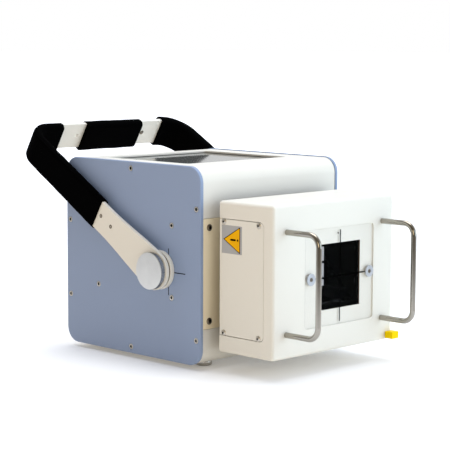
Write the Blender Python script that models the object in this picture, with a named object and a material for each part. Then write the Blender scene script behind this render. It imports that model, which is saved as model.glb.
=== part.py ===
"""Portable X-ray generator: a sheet-metal case between two side plates, a shutter collimator on its
front, and a flat-bar carrying handle that swings on two clamp knobs.

Metres, +Z up. The beam leaves towards -Y. The origin is at floor level under the middle of the unit.
Everything is drawn in the case's own frame, whose zero is the lower front edge of the side plates.
"""
import math

import bmesh
import bpy
from mathutils import Matrix, Vector

# Fits and small finishing sizes
FIT_GAP = 0.0003
EDGE_BREAK = 0.0006
CORNER_STEPS = 5
ROUND_SIDES = 40
SMALL_SIDES = 20
CUT_PAST = 0.002
SAME_PLACE = 1e-6
SMOOTH_BELOW = math.radians(35.0)

# Case
BODY_WIDTH = 0.2063
BODY_DEPTH = 0.2056
BODY_HEIGHT = 0.200
PLATE_THICKNESS = 0.004
CASE_CORNER = 0.0165
EDGE_INSET = 0.0008
SHEET = 0.002
SEAM_UPPER = 0.1482
SEAM_LOWER = 0.0372
REAR_SEAM_UPPER = 0.168
REAR_SEAM_LOWER = 0.034
RAIL_DEPTH = 0.008
RAIL_ABOVE_SEAM = 0.014
RAIL_BELOW_SEAM = 0.014
BOTTOM_RAIL_Y = 0.1056
FOOT_RADIUS = 0.008
FOOT_HEIGHT = 0.005
FOOT_INSET_X = 0.030
FOOT_INSET_Y = 0.025

# Display in the top
SCREEN_WIDTH = 0.148
SCREEN_FRONT = 0.048
SCREEN_LENGTH = 0.125
SCREEN_CORNER = 0.004
GLASS_LAP = 0.004
GLASS_THICKNESS = 0.003
CARRIER_THICKNESS = 0.007
BOARD_THICKNESS = 0.0016
BOARD_MARGIN = 0.004

# Beam, tank and tube
BEAM_X = 0.007
BEAM_Z = 0.091
FOCUS_Y = 0.0458
PORT_RADIUS = 0.0195
TANK_BEHIND_RAIL = 0.004
TANK_BELOW_BEAM = 0.051
TANK_ABOVE_BEAM = 0.049
TANK_BEHIND_FOCUS = 0.045
TANK_WALL = 0.003
TANK_PORT_RADIUS = 0.015
LID_THICKNESS = 0.0045
BULB_RADIUS = 0.021
BULB_NECK_RADIUS = 0.0138
BULB_WALL = 0.0015
BULB_LEFT = 0.062
BULB_RIGHT = 0.045
BULB_SHOULDER = 0.012
CATHODE_RADIUS = 0.010
CATHODE_STEM_RADIUS = 0.005
CATHODE_CUP_DEPTH = 0.012
FOCUS_GAP = 0.012
TARGET_SLOPE = 0.004

# Power module
MODULE_Y = 0.150
MODULE_LOW = 0.056
MODULE_HIGH = 0.150
MODULE_BASE = 0.004
FIN_LENGTH = 0.014
FIN_THICKNESS = 0.003
FIN_COUNT = 9

# Rear fittings
SOCKET_Z = 0.092
INLET_X = 0.040
INLET_WIDTH = 0.058
INLET_HEIGHT = 0.028
INLET_LAP = 0.002
INLET_FLANGE = 0.0025
INLET_BODY_DEPTH = 0.022
INLET_CAVITY_SHIFT = 0.0115
INLET_CAVITY_WIDTH = 0.0245
INLET_CAVITY_HEIGHT = 0.0175
INLET_CAVITY_DEPTH = 0.016
ROCKER_SHIFT = 0.0165
ROCKER_WELL_WIDTH = 0.0125
ROCKER_WELL_HEIGHT = 0.0195
ROCKER_WELL_DEPTH = 0.008
ROCKER_PIVOT_DEPTH = 0.0025
ROCKER_BACK = 0.004
ROCKER_LIP = 0.0035
ROCKER_DISH = 0.0015
ROCKER_END_GAP = 0.00055
ROCKER_TILT = math.radians(7.0)
JACK_X = -0.055
JACK_FLANGE_RADIUS = 0.011
JACK_BODY_RADIUS = 0.0075
JACK_BORE_RADIUS = 0.0048
JACK_FLANGE = 0.0025
JACK_BODY_DEPTH = 0.014
JACK_BORE_DEPTH = 0.010

# Port flange between case and collimator
FLANGE_RADIUS = 0.045
FLANGE_COLLAR_RADIUS = 0.030
COLLIMATOR_GAP = 0.0144
FLANGE_STANDOFF = 0.008
TURN_RING_RADIUS = 0.040
FILTER_THICKNESS = 0.001
FILTER_Y = -0.003

# Collimator housing
HOUSING_WIDTH = 0.181
HOUSING_DEPTH = 0.0725
HOUSING_HEIGHT = 0.1511
HOUSING_LOW = 0.0161
HOUSING_WALL = 0.003
HOUSING_CORNER = 0.0035
BACK_PLATE_THICKNESS = 0.0025
COVER_LENGTH = 0.0598
COVER_LOW = 0.0336
COVER_HIGH = 0.150
COVER_CORNER = 0.005

# Window in the collimator's front
WINDOW_WIDTH = 0.065
WINDOW_HEIGHT = 0.066
PANEL_WIDTH = 0.1036
PANEL_HEIGHT = 0.0976
PANEL_CORNER = 0.004
PANEL_THICKNESS = 0.0015
PANEL_PROUD = 0.0002
DISC_OFFSET = 0.0443
DISC_RADIUS = 0.006
DISC_THICKNESS = 0.0013

# Shutters, mirror and field lamp
SHUTTER_FRAME_THICKNESS = 0.002
SHUTTER_FRAME_SETBACK = 0.0049
SHUTTER_FRAME_LOW = 0.050
SHUTTER_MARGIN = 0.0025
BLADE_THICKNESS = 0.0015
BLADE_REACH = 0.034
BLADE_CLEAR = 0.001
BLADE_OVERLAP = 0.005
MIRROR_HALF_WIDTH = 0.036
MIRROR_THICKNESS = 0.0015
MIRROR_FRONT_GAP = 0.004
LAMP_HOLDER_SIZE = (0.024, 0.026, 0.016)
LAMP_RADIUS = 0.005
LAMP_LENGTH = 0.015
SHUTTER_KNOB_RADIUS = 0.011
SHUTTER_KNOB_LENGTH = 0.0125
SHUTTER_SHAFT_RADIUS = 0.003
SHUTTER_SHAFT_LENGTH = 0.009
SHUTTER_KNOB_SPREAD = 0.017
SHUTTER_KNOB_Y = -0.045

# Guard handles on the collimator's front
GUARD_RADIUS = 0.003
GUARD_OFFSET_X = 0.072
GUARD_HALF_SPAN = 0.050
GUARD_REACH = 0.0415
GUARD_BEND = 0.012
GUARD_CENTRE_Z = 0.0906

# Tape measure in the collimator's lower right corner
TAPE_CASE_WIDTH = 0.0137
TAPE_CASE_LENGTH = 0.0536
TAPE_CASE_HEIGHT = 0.0136
TAPE_STRIP_WIDTH = 0.005
TAPE_STRIP_THICKNESS = 0.0006
TAPE_SLOT_GAP = 0.0005
TAPE_STRIP_LENGTH = 0.050
TAPE_STRIP_INSET = 0.0085
TAPE_RISE = 0.0054
TAB_WIDTH = 0.0106
TAB_HEIGHT = 0.0072
TAB_LENGTH = 0.010

# Carrying handle and its pivots
PIVOT_Y = 0.0567
PIVOT_Z = 0.0928
HANDLE_LEAN = math.radians(59.3)
HANDLE_REACH = 0.244
HANDLE_BEND = 0.026
BAR_WIDTH = 0.031
BAR_THICKNESS = 0.004
BAR_OFFSET = 0.0095
BAR_END_RADIUS = 0.020
BAR_TAPER = 0.085
BAR_HOLE_RADIUS = 0.002
BAR_HOLE_LEFT_X = -0.0395
BAR_HOLE_RIGHT_X = 0.059
GRIP_WIDTH = 0.037
GRIP_THICKNESS = 0.014
GRIP_CORNER = 0.0055
GRIP_START = 0.099
GRIP_LEFT_END_X = -0.062
GRIP_CENTRE_X = (-0.031, 0.051)
GRIP_RIGHT_END_X = 0.084
BOSS_RADIUS = 0.020
BOSS_THICKNESS = 0.0052
STUD_RADIUS = 0.005
STUD_HEAD_RADIUS = 0.009
STUD_HEAD_THICKNESS = 0.003
KNOB_RADIUS = 0.019
KNOB_THICKNESS = 0.0057
KNOB_BORE_DEPTH = 0.0035

# Places that follow from the sizes above
INNER_X = BODY_WIDTH / 2 - PLATE_THICKNESS - FIT_GAP
TANK_SIDE = INNER_X - STUD_HEAD_THICKNESS - FIT_GAP
SHEET_IN = EDGE_INSET + SHEET
RAIL_IN = SHEET_IN + FIT_GAP
CASE_REAR = BODY_DEPTH - EDGE_INSET
HOUSING_REAR = -COLLIMATOR_GAP
HOUSING_FRONT = HOUSING_REAR - HOUSING_DEPTH
HOUSING_HIGH = HOUSING_LOW + HOUSING_HEIGHT
HOUSING_SIDE = HOUSING_WIDTH / 2
HOUSING_IN_X = HOUSING_SIDE - HOUSING_WALL
HOUSING_IN_LOW = HOUSING_LOW + HOUSING_WALL
HOUSING_IN_HIGH = HOUSING_HIGH - HOUSING_WALL
HOUSING_IN_FRONT = HOUSING_FRONT + HOUSING_WALL
ARM_X = BODY_WIDTH / 2 + BAR_OFFSET
KNOB_IN = BAR_OFFSET + BAR_THICKNESS / 2 + FIT_GAP
FRONT_MOST = HOUSING_FRONT - GUARD_REACH - GUARD_RADIUS
GRIP_CORNER_OUT = HANDLE_REACH + GRIP_THICKNESS / 2 - GRIP_CORNER
GRIP_CORNER_SIDE = GRIP_WIDTH / 2 - GRIP_CORNER
REAR_MOST = (PIVOT_Y + GRIP_CORNER_OUT * math.sin(HANDLE_LEAN)
             + GRIP_CORNER_SIDE * math.cos(HANDLE_LEAN) + GRIP_CORNER)

AXIS_PLACE = {
    "X": lambda a, b, along: (along, a, b),
    "Y": lambda a, b, along: (a, along, b),
    "Z": lambda a, b, along: (a, b, along),
}


def paint(name, color, roughness, metallic=0.0):
    """A Principled material with one colour."""
    material = bpy.data.materials.new(name)
    material.use_nodes = True
    shader = material.node_tree.nodes["Principled BSDF"]
    shader.inputs["Base Color"].default_value = (*color, 1.0)
    shader.inputs["Roughness"].default_value = roughness
    shader.inputs["Metallic"].default_value = metallic
    return material


def frame_empty(name, location, parent=None, turn=0.0):
    """An empty that carries pieces; turn leans it about X."""
    empty = bpy.data.objects.new(name, None)
    empty.location = location
    empty.rotation_euler = (turn, 0.0, 0.0)
    empty.parent = parent
    bpy.context.scene.collection.objects.link(empty)
    return empty


def finish(name, bm, material, parent, smooth=False):
    """Turns the bmesh into a named piece under its parent."""
    bmesh.ops.recalc_face_normals(bm, faces=bm.faces)
    mesh = bpy.data.meshes.new(name)
    bm.to_mesh(mesh)
    bm.free()
    mesh.materials.append(material)
    if smooth:
        mesh.shade_smooth()
        mesh.set_sharp_from_angle(angle=SMOOTH_BELOW)
    piece = bpy.data.objects.new(name, mesh)
    piece.parent = parent
    bpy.context.scene.collection.objects.link(piece)
    return piece


def combine(piece, bm, operation):
    """Cuts or joins the bmesh's solids with the piece through a Boolean modifier."""
    bmesh.ops.recalc_face_normals(bm, faces=bm.faces)
    mesh = bpy.data.meshes.new(f"{piece.name}_{operation.lower()}")
    bm.to_mesh(mesh)
    bm.free()
    tool = bpy.data.objects.new(mesh.name, mesh)
    tool.parent = piece.parent
    tool.hide_render = True
    tool.display_type = "WIRE"
    bpy.context.scene.collection.objects.link(tool)
    modifier = piece.modifiers.new(operation.title(), "BOOLEAN")
    modifier.operation = operation
    modifier.solver = "EXACT"
    modifier.object = tool


def add_box(bm, x_range, y_range, z_range):
    """A closed box between two values on each axis."""
    low = Vector((x_range[0], y_range[0], z_range[0]))
    high = Vector((x_range[1], y_range[1], z_range[1]))
    grown = bmesh.ops.create_cube(bm, size=1.0)
    place = Matrix.Translation((low + high) / 2) @ Matrix.Diagonal((*(high - low), 1.0))
    bmesh.ops.transform(bm, matrix=place, verts=grown["verts"])
    return grown["verts"]


def add_prism(bm, outline, axis, low, high):
    """A closed prism: the outline's (a, b) points, drawn out along the axis."""
    place = AXIS_PLACE[axis]
    face = bm.faces.new([bm.verts.new(place(a, b, low)) for a, b in outline])
    grown = bmesh.ops.extrude_face_region(bm, geom=[face])
    moved = [item for item in grown["geom"] if isinstance(item, bmesh.types.BMVert)]
    bmesh.ops.translate(bm, verts=moved, vec=place(0.0, 0.0, high - low))


def add_turned(bm, profile, axis, centre, sides, direction=1.0):
    """A turned solid: the profile's (radius, along) points spun about the axis through the centre.

    The profile either starts and ends on the axis, or is a closed ring of points with no zero radius.
    """
    place = AXIS_PLACE[axis]
    centre = Vector(centre)
    points = []
    for radius, along in profile:
        points.append(bm.verts.new(centre + Vector(place(radius, 0.0, direction * along))))
    edges = [bm.edges.new(pair) for pair in zip(points, points[1:])]
    if min(radius for radius, _ in profile) > 0.0:
        edges.append(bm.edges.new((points[-1], points[0])))
    before = set(bm.verts) - set(points)
    bmesh.ops.spin(bm, geom=points + edges, cent=centre, axis=place(0.0, 0.0, 1.0),
                   angle=math.tau, steps=sides, use_merge=True)
    bmesh.ops.remove_doubles(bm, verts=[vert for vert in bm.verts if vert not in before], dist=SAME_PLACE)


def arc(centre, radius, start, end, steps=CORNER_STEPS):
    """Points of an arc from the start angle to the end angle, in degrees."""
    angles = [math.radians(start + (end - start) * step / steps) for step in range(steps + 1)]
    return [(centre[0] + radius * math.cos(angle), centre[1] + radius * math.sin(angle))
            for angle in angles]


def rounded(a_range, b_range, radius):
    """The outline of a rectangle with four round corners."""
    corners = ((a_range[1] - radius, b_range[1] - radius), (a_range[0] + radius, b_range[1] - radius),
               (a_range[0] + radius, b_range[0] + radius), (a_range[1] - radius, b_range[0] + radius))
    outline = []
    for quarter, centre in enumerate(corners):
        outline += arc(centre, radius, 90.0 * quarter, 90.0 * (quarter + 1))
    return outline


def around(centre, size):
    """The two limits of a length centred on a value."""
    return (centre - size / 2, centre + size / 2)


def break_edges(bm, wanted, width, segments=2):
    """Bevels the edges that the test picks."""
    edges = [edge for edge in bm.edges if wanted(edge)]
    bmesh.ops.bevel(bm, geom=edges, offset=width, offset_type="OFFSET", segments=segments,
                    profile=0.5, affect="EDGES", clamp_overlap=True)


def both_at(axis, value):
    """A test for edges that lie at one value of an axis."""
    return lambda edge: all(abs(vert.co[axis] - value) < SAME_PLACE for vert in edge.verts)


def sorted_pair(first, second):
    """Two values in rising order."""
    return (min(first, second), max(first, second))


# Case -------------------------------------------------------------------------------------------

def make_side_plate(side, name, material, case):
    outer = side * BODY_WIDTH / 2
    inner = side * (BODY_WIDTH / 2 - PLATE_THICKNESS)
    bm = bmesh.new()
    outline = rounded((0.0, BODY_DEPTH), (0.0, BODY_HEIGHT), CASE_CORNER)
    add_prism(bm, outline, "X", *sorted_pair(inner, outer))
    break_edges(bm, both_at(0, outer), EDGE_BREAK)
    plate = finish(name, bm, material, case, smooth=True)
    hole = bmesh.new()
    start = side * (BODY_WIDTH / 2 - PLATE_THICKNESS - CUT_PAST)
    add_turned(hole, [(0.0, 0.0), (STUD_RADIUS + FIT_GAP, 0.0),
                      (STUD_RADIUS + FIT_GAP, PLATE_THICKNESS + 2 * CUT_PAST),
                      (0.0, PLATE_THICKNESS + 2 * CUT_PAST)],
               "X", (start, PIVOT_Y, PIVOT_Z), SMALL_SIDES, side)
    combine(plate, hole, "DIFFERENCE")


def case_arc(rear, top, inset, start, end):
    """One bent corner of the case's sheet, at a depth under the plate's outline."""
    centre = (BODY_DEPTH - CASE_CORNER if rear else CASE_CORNER,
              BODY_HEIGHT - CASE_CORNER if top else CASE_CORNER)
    return arc(centre, CASE_CORNER - inset, start, end)


def make_top_cover(material, case):
    def path(inset):
        return ([(inset, SEAM_UPPER + FIT_GAP)]
                + case_arc(False, True, inset, 180.0, 90.0)
                + case_arc(True, True, inset, 90.0, 0.0)
                + [(BODY_DEPTH - inset, REAR_SEAM_UPPER + FIT_GAP)])

    bm = bmesh.new()
    add_prism(bm, path(EDGE_INSET) + path(SHEET_IN)[::-1], "X", -INNER_X, INNER_X)
    cover = finish("top_cover", bm, material, case, smooth=True)
    opening = bmesh.new()
    y_range = (SCREEN_FRONT, SCREEN_FRONT + SCREEN_LENGTH)
    outline = rounded(around(0.0, SCREEN_WIDTH), y_range, SCREEN_CORNER)
    add_prism(opening, outline, "Z", BODY_HEIGHT - SHEET_IN - CUT_PAST, BODY_HEIGHT + CUT_PAST)
    combine(cover, opening, "DIFFERENCE")


def make_base_tray(material, case):
    def path(inset):
        return ([(inset, SEAM_LOWER - FIT_GAP)]
                + case_arc(False, False, inset, 180.0, 270.0)
                + case_arc(True, False, inset, 270.0, 360.0)
                + [(BODY_DEPTH - inset, REAR_SEAM_LOWER - FIT_GAP)])

    bm = bmesh.new()
    add_prism(bm, path(EDGE_INSET) + path(SHEET_IN)[::-1], "X", -INNER_X, INNER_X)
    finish("base_tray", bm, material, case, smooth=True)


def make_front_panel(material, case):
    bm = bmesh.new()
    add_box(bm, (-INNER_X, INNER_X), (EDGE_INSET, SHEET_IN), (SEAM_LOWER, SEAM_UPPER))
    panel = finish("front_panel", bm, material, case)
    hole = bmesh.new()
    radius = FLANGE_COLLAR_RADIUS + FIT_GAP
    add_turned(hole, [(0.0, -CUT_PAST), (radius, -CUT_PAST), (radius, SHEET_IN + CUT_PAST),
                      (0.0, SHEET_IN + CUT_PAST)], "Y", (BEAM_X, 0.0, BEAM_Z), ROUND_SIDES)
    combine(panel, hole, "DIFFERENCE")


def make_rear_panel(material, case):
    bm = bmesh.new()
    add_box(bm, (-INNER_X, INNER_X), (CASE_REAR - SHEET, CASE_REAR), (REAR_SEAM_LOWER, REAR_SEAM_UPPER))
    panel = finish("rear_panel", bm, material, case)
    holes = bmesh.new()
    reach = (CASE_REAR - SHEET - CUT_PAST, CASE_REAR + CUT_PAST)
    add_box(holes, around(INLET_X, INLET_WIDTH - 2 * INLET_LAP + 2 * FIT_GAP), reach,
            around(SOCKET_Z, INLET_HEIGHT - 2 * INLET_LAP + 2 * FIT_GAP))
    radius = JACK_BODY_RADIUS + FIT_GAP
    add_turned(holes, [(0.0, reach[0]), (radius, reach[0]), (radius, reach[1]), (0.0, reach[1])],
               "Y", (JACK_X, 0.0, SOCKET_Z), SMALL_SIDES)
    combine(panel, holes, "DIFFERENCE")


def make_rails(material, case):
    front = (RAIL_IN, RAIL_IN + RAIL_DEPTH)
    rear = (BODY_DEPTH - RAIL_IN - RAIL_DEPTH, BODY_DEPTH - RAIL_IN)
    middle = around(BOTTOM_RAIL_Y, RAIL_DEPTH)
    rails = {
        "rail_front_upper": (front, (SEAM_UPPER - RAIL_BELOW_SEAM, SEAM_UPPER + RAIL_ABOVE_SEAM)),
        "rail_front_lower": (front, (SEAM_LOWER - RAIL_BELOW_SEAM, SEAM_LOWER + RAIL_ABOVE_SEAM)),
        "rail_rear_upper": (rear, (REAR_SEAM_UPPER - RAIL_BELOW_SEAM, REAR_SEAM_UPPER + RAIL_ABOVE_SEAM)),
        "rail_rear_lower": (rear, (REAR_SEAM_LOWER - RAIL_BELOW_SEAM, REAR_SEAM_LOWER + RAIL_ABOVE_SEAM)),
        "rail_bottom": (middle, (RAIL_IN, RAIL_IN + RAIL_DEPTH)),
    }
    for name, (y_range, z_range) in rails.items():
        bm = bmesh.new()
        add_box(bm, (-INNER_X, INNER_X), y_range, z_range)
        finish(name, bm, material, case)


def make_feet(material, case):
    chamfer = 2 * EDGE_BREAK
    top = FOOT_HEIGHT + EDGE_INSET - FIT_GAP
    profile = [(0.0, 0.0), (FOOT_RADIUS - chamfer, 0.0), (FOOT_RADIUS, chamfer),
               (FOOT_RADIUS, top - chamfer), (FOOT_RADIUS - chamfer, top), (0.0, top)]
    for side, side_name in ((-1, "left"), (1, "right")):
        for y, end_name in ((FOOT_INSET_Y, "front"), (BODY_DEPTH - FOOT_INSET_Y, "rear")):
            bm = bmesh.new()
            x = side * (BODY_WIDTH / 2 - FOOT_INSET_X)
            add_turned(bm, profile, "Z", (x, y, -FOOT_HEIGHT), SMALL_SIDES)
            finish(f"foot_{end_name}_{side_name}", bm, material, case, smooth=True)


def make_display(glass, dark, board, case):
    glass_top = BODY_HEIGHT - SHEET_IN - FIT_GAP
    carrier_top = glass_top - GLASS_THICKNESS - FIT_GAP
    board_top = carrier_top - CARRIER_THICKNESS - FIT_GAP
    y_range = (SCREEN_FRONT, SCREEN_FRONT + SCREEN_LENGTH)
    lapped = (y_range[0] - GLASS_LAP, y_range[1] + GLASS_LAP)
    bm = bmesh.new()
    outline = rounded(around(0.0, SCREEN_WIDTH + 2 * GLASS_LAP), lapped, SCREEN_CORNER)
    add_prism(bm, outline, "Z", glass_top - GLASS_THICKNESS, glass_top)
    finish("display_glass", bm, glass, case)
    bm = bmesh.new()
    add_box(bm, (-INNER_X, INNER_X), lapped, (carrier_top - CARRIER_THICKNESS, carrier_top))
    finish("display_carrier", bm, dark, case)
    bm = bmesh.new()
    board_y = (y_range[0] + BOARD_MARGIN, y_range[1] - BOARD_MARGIN)
    add_box(bm, around(0.0, SCREEN_WIDTH - 2 * BOARD_MARGIN), board_y,
            (board_top - BOARD_THICKNESS, board_top))
    finish("control_board", bm, board, case)


# Tank, tube and power module ----------------------------------------------------------------------

def make_tank(steel, case):
    front = RAIL_IN + RAIL_DEPTH + TANK_BEHIND_RAIL
    rear = FOCUS_Y + TANK_BEHIND_FOCUS
    low = BEAM_Z - TANK_BELOW_BEAM
    high = BEAM_Z + TANK_ABOVE_BEAM
    bm = bmesh.new()
    add_box(bm, (-TANK_SIDE, TANK_SIDE), (front, rear), (low, high))
    tank = finish("tank_body", bm, steel, case)
    hollow = bmesh.new()
    add_box(hollow, (-TANK_SIDE + TANK_WALL, TANK_SIDE - TANK_WALL), (front + TANK_WALL, rear - TANK_WALL),
            (low + TANK_WALL, high + CUT_PAST))
    combine(tank, hollow, "DIFFERENCE")
    port = bmesh.new()
    outside = front - CUT_PAST
    inside = front + TANK_WALL + CUT_PAST
    radius = TANK_PORT_RADIUS
    add_turned(port, [(0.0, outside), (radius, outside), (radius, inside), (0.0, inside)],
               "Y", (BEAM_X, 0.0, BEAM_Z), SMALL_SIDES)
    combine(tank, port, "DIFFERENCE")
    bm = bmesh.new()
    add_box(bm, (-INNER_X, INNER_X), (front, rear), (high + FIT_GAP, high + FIT_GAP + LID_THICKNESS))
    finish("tank_lid", bm, steel, case)
    return front


def make_tube(glass, copper, steel, case):
    """A stationary-anode tube lying along X, its focal spot on the beam axis."""
    focus = (BEAM_X, FOCUS_Y, BEAM_Z)
    inner_bulb = BULB_RADIUS - BULB_WALL
    inner_neck = BULB_NECK_RADIUS - BULB_WALL
    shoulder = BULB_RIGHT - BULB_SHOULDER
    neck_end = BULB_RIGHT + BULB_SHOULDER
    inner_end = -BULB_LEFT + BULB_WALL
    bm = bmesh.new()
    add_turned(bm, [(0.0, -BULB_LEFT), (inner_bulb, -BULB_LEFT), (BULB_RADIUS, inner_end),
                    (BULB_RADIUS, shoulder), (BULB_NECK_RADIUS, BULB_RIGHT), (BULB_NECK_RADIUS, neck_end),
                    (inner_neck, neck_end), (inner_neck, BULB_RIGHT), (inner_bulb, shoulder),
                    (inner_bulb, inner_end), (0.0, inner_end)], "X", focus, SMALL_SIDES)
    finish("tube_envelope", bm, glass, case, smooth=True)
    stem = inner_neck - FIT_GAP
    stem_end = TANK_SIDE - TANK_WALL - FIT_GAP - BEAM_X
    bm = bmesh.new()
    outline = arc((FOCUS_Y, BEAM_Z), stem, 0.0, 360.0 - 360.0 / SMALL_SIDES, SMALL_SIDES - 1)
    add_prism(bm, outline, "X", BEAM_X, BEAM_X + stem_end)
    for vert in bm.verts:
        if abs(vert.co.x - BEAM_X) < SAME_PLACE:
            vert.co.x += TARGET_SLOPE * (vert.co.y - FOCUS_Y) / stem + TARGET_SLOPE
    finish("tube_anode", bm, copper, case)
    bm = bmesh.new()
    end = inner_end + FIT_GAP
    cup_back = -FOCUS_GAP - CATHODE_CUP_DEPTH
    add_turned(bm, [(0.0, end), (CATHODE_STEM_RADIUS, end), (CATHODE_STEM_RADIUS, cup_back),
                    (CATHODE_RADIUS, cup_back), (CATHODE_RADIUS, -FOCUS_GAP), (0.0, -FOCUS_GAP)],
               "X", focus, SMALL_SIDES)
    finish("tube_cathode", bm, steel, case, smooth=True)


def make_power_module(aluminium, case):
    """A finned heat sink that carries the inverter and spans the two side plates."""
    pitch = (MODULE_HIGH - MODULE_LOW - FIN_THICKNESS) / (FIN_COUNT - 1)
    outline = [(MODULE_Y, MODULE_HIGH), (MODULE_Y, MODULE_LOW)]
    for fin in range(FIN_COUNT):
        low = MODULE_LOW + fin * pitch
        if fin:
            outline.append((MODULE_Y + MODULE_BASE, low))
        outline.append((MODULE_Y + FIN_LENGTH, low))
        outline.append((MODULE_Y + FIN_LENGTH, low + FIN_THICKNESS))
        if fin < FIN_COUNT - 1:
            outline.append((MODULE_Y + MODULE_BASE, low + FIN_THICKNESS))
    bm = bmesh.new()
    add_prism(bm, outline, "X", -INNER_X, INNER_X)
    finish("power_heat_sink", bm, aluminium, case)


# Rear fittings ------------------------------------------------------------------------------------

def make_inlet(black, case):
    face = CASE_REAR + FIT_GAP
    back = CASE_REAR - INLET_BODY_DEPTH
    bm = bmesh.new()
    add_box(bm, around(INLET_X, INLET_WIDTH), (face, face + INLET_FLANGE), around(SOCKET_Z, INLET_HEIGHT))
    break_edges(bm, both_at(1, face + INLET_FLANGE), EDGE_BREAK)
    inlet = finish("mains_inlet", bm, black, case)
    body = bmesh.new()
    add_box(body, around(INLET_X, INLET_WIDTH - 2 * INLET_LAP), (back, face + INLET_FLANGE / 2),
            around(SOCKET_Z, INLET_HEIGHT - 2 * INLET_LAP))
    combine(inlet, body, "UNION")
    wells = bmesh.new()
    outside = face + INLET_FLANGE
    add_box(wells, around(INLET_X - INLET_CAVITY_SHIFT, INLET_CAVITY_WIDTH),
            (outside - INLET_CAVITY_DEPTH, outside + CUT_PAST), around(SOCKET_Z, INLET_CAVITY_HEIGHT))
    add_box(wells, around(INLET_X + ROCKER_SHIFT, ROCKER_WELL_WIDTH),
            (outside - ROCKER_WELL_DEPTH, outside + CUT_PAST), around(SOCKET_Z, ROCKER_WELL_HEIGHT))
    combine(inlet, wells, "DIFFERENCE")
    return outside


def make_rocker(outside, black, case):
    """The power switch's rocker, at rest with its lower half pressed in."""
    half = ROCKER_WELL_HEIGHT / 2 - ROCKER_END_GAP
    pivot = (INLET_X + ROCKER_SHIFT, outside - ROCKER_PIVOT_DEPTH, SOCKET_Z)
    outline = [(-ROCKER_BACK, -half), (ROCKER_LIP, -half), (ROCKER_DISH, 0.0), (ROCKER_LIP, half),
               (-ROCKER_BACK, half)]
    bm = bmesh.new()
    width = ROCKER_WELL_WIDTH / 2 - FIT_GAP
    add_prism(bm, outline, "X", -width, width)
    rocker = finish("power_rocker", bm, black, case)
    rocker.location = pivot
    rocker.rotation_euler = (-ROCKER_TILT, 0.0, 0.0)


def make_jack(steel, case):
    face = CASE_REAR + FIT_GAP
    bm = bmesh.new()
    bore_end = JACK_FLANGE - JACK_BORE_DEPTH
    add_turned(bm, [(0.0, -JACK_BODY_DEPTH), (JACK_BODY_RADIUS, -JACK_BODY_DEPTH), (JACK_BODY_RADIUS, 0.0),
                    (JACK_FLANGE_RADIUS, 0.0), (JACK_FLANGE_RADIUS, JACK_FLANGE - EDGE_BREAK),
                    (JACK_FLANGE_RADIUS - EDGE_BREAK, JACK_FLANGE), (JACK_BORE_RADIUS, JACK_FLANGE),
                    (JACK_BORE_RADIUS, bore_end), (0.0, bore_end)],
               "Y", (JACK_X, face, SOCKET_Z), SMALL_SIDES)
    finish("handswitch_jack", bm, steel, case, smooth=True)


# Collimator ---------------------------------------------------------------------------------------

def make_port_flange(tank_front, aluminium, case):
    panel_face = EDGE_INSET - FIT_GAP
    collar_end = tank_front - FIT_GAP
    bm = bmesh.new()
    add_turned(bm, [(PORT_RADIUS, -FLANGE_STANDOFF), (FLANGE_RADIUS - EDGE_BREAK, -FLANGE_STANDOFF),
                    (FLANGE_RADIUS, EDGE_BREAK - FLANGE_STANDOFF), (FLANGE_RADIUS, panel_face),
                    (FLANGE_COLLAR_RADIUS, panel_face), (FLANGE_COLLAR_RADIUS, collar_end),
                    (PORT_RADIUS, collar_end)], "Y", (BEAM_X, 0.0, BEAM_Z), ROUND_SIDES)
    finish("port_flange", bm, aluminium, case, smooth=True)
    bm = bmesh.new()
    radius = PORT_RADIUS - FIT_GAP
    add_turned(bm, [(0.0, 0.0), (radius, 0.0), (radius, FILTER_THICKNESS), (0.0, FILTER_THICKNESS)],
               "Y", (BEAM_X, FILTER_Y, BEAM_Z), ROUND_SIDES)
    finish("filter_disc", bm, aluminium, case, smooth=True)


def make_housing(cream, case):
    bm = bmesh.new()
    add_box(bm, (-HOUSING_SIDE, HOUSING_SIDE), (HOUSING_FRONT, HOUSING_REAR), (HOUSING_LOW, HOUSING_HIGH))
    rear_edge = both_at(1, HOUSING_REAR)
    break_edges(bm, lambda edge: not rear_edge(edge), HOUSING_CORNER, CORNER_STEPS)
    housing = finish("collimator_housing", bm, cream, case, smooth=True)
    hollow = bmesh.new()
    add_box(hollow, (-HOUSING_IN_X, HOUSING_IN_X), (HOUSING_IN_FRONT, HOUSING_REAR + CUT_PAST),
            (HOUSING_IN_LOW, HOUSING_IN_HIGH))
    combine(housing, hollow, "DIFFERENCE")
    notches = bmesh.new()
    for side in (-1, 1):
        x_range = sorted_pair(side * (HOUSING_IN_X - CUT_PAST), side * (HOUSING_SIDE + CUT_PAST))
        add_prism(notches, cover_outline(0.0, CUT_PAST), "X", *x_range)
    combine(housing, notches, "DIFFERENCE")
    window = bmesh.new()
    add_box(window, around(BEAM_X, WINDOW_WIDTH), (HOUSING_FRONT - CUT_PAST, HOUSING_IN_FRONT + CUT_PAST),
            around(BEAM_Z, WINDOW_HEIGHT))
    combine(housing, window, "DIFFERENCE")
    recess = bmesh.new()
    depth = PANEL_THICKNESS - PANEL_PROUD + FIT_GAP
    outline = rounded(around(BEAM_X, PANEL_WIDTH + 2 * FIT_GAP), around(BEAM_Z, PANEL_HEIGHT + 2 * FIT_GAP),
                      PANEL_CORNER + FIT_GAP)
    add_prism(recess, outline, "Y", HOUSING_FRONT - CUT_PAST, HOUSING_FRONT + depth)
    combine(housing, recess, "DIFFERENCE")
    slot = bmesh.new()
    x_range, z_range = tape_slot()
    add_box(slot, x_range, (HOUSING_FRONT - CUT_PAST, HOUSING_IN_FRONT + CUT_PAST), z_range)
    combine(housing, slot, "DIFFERENCE")


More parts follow.
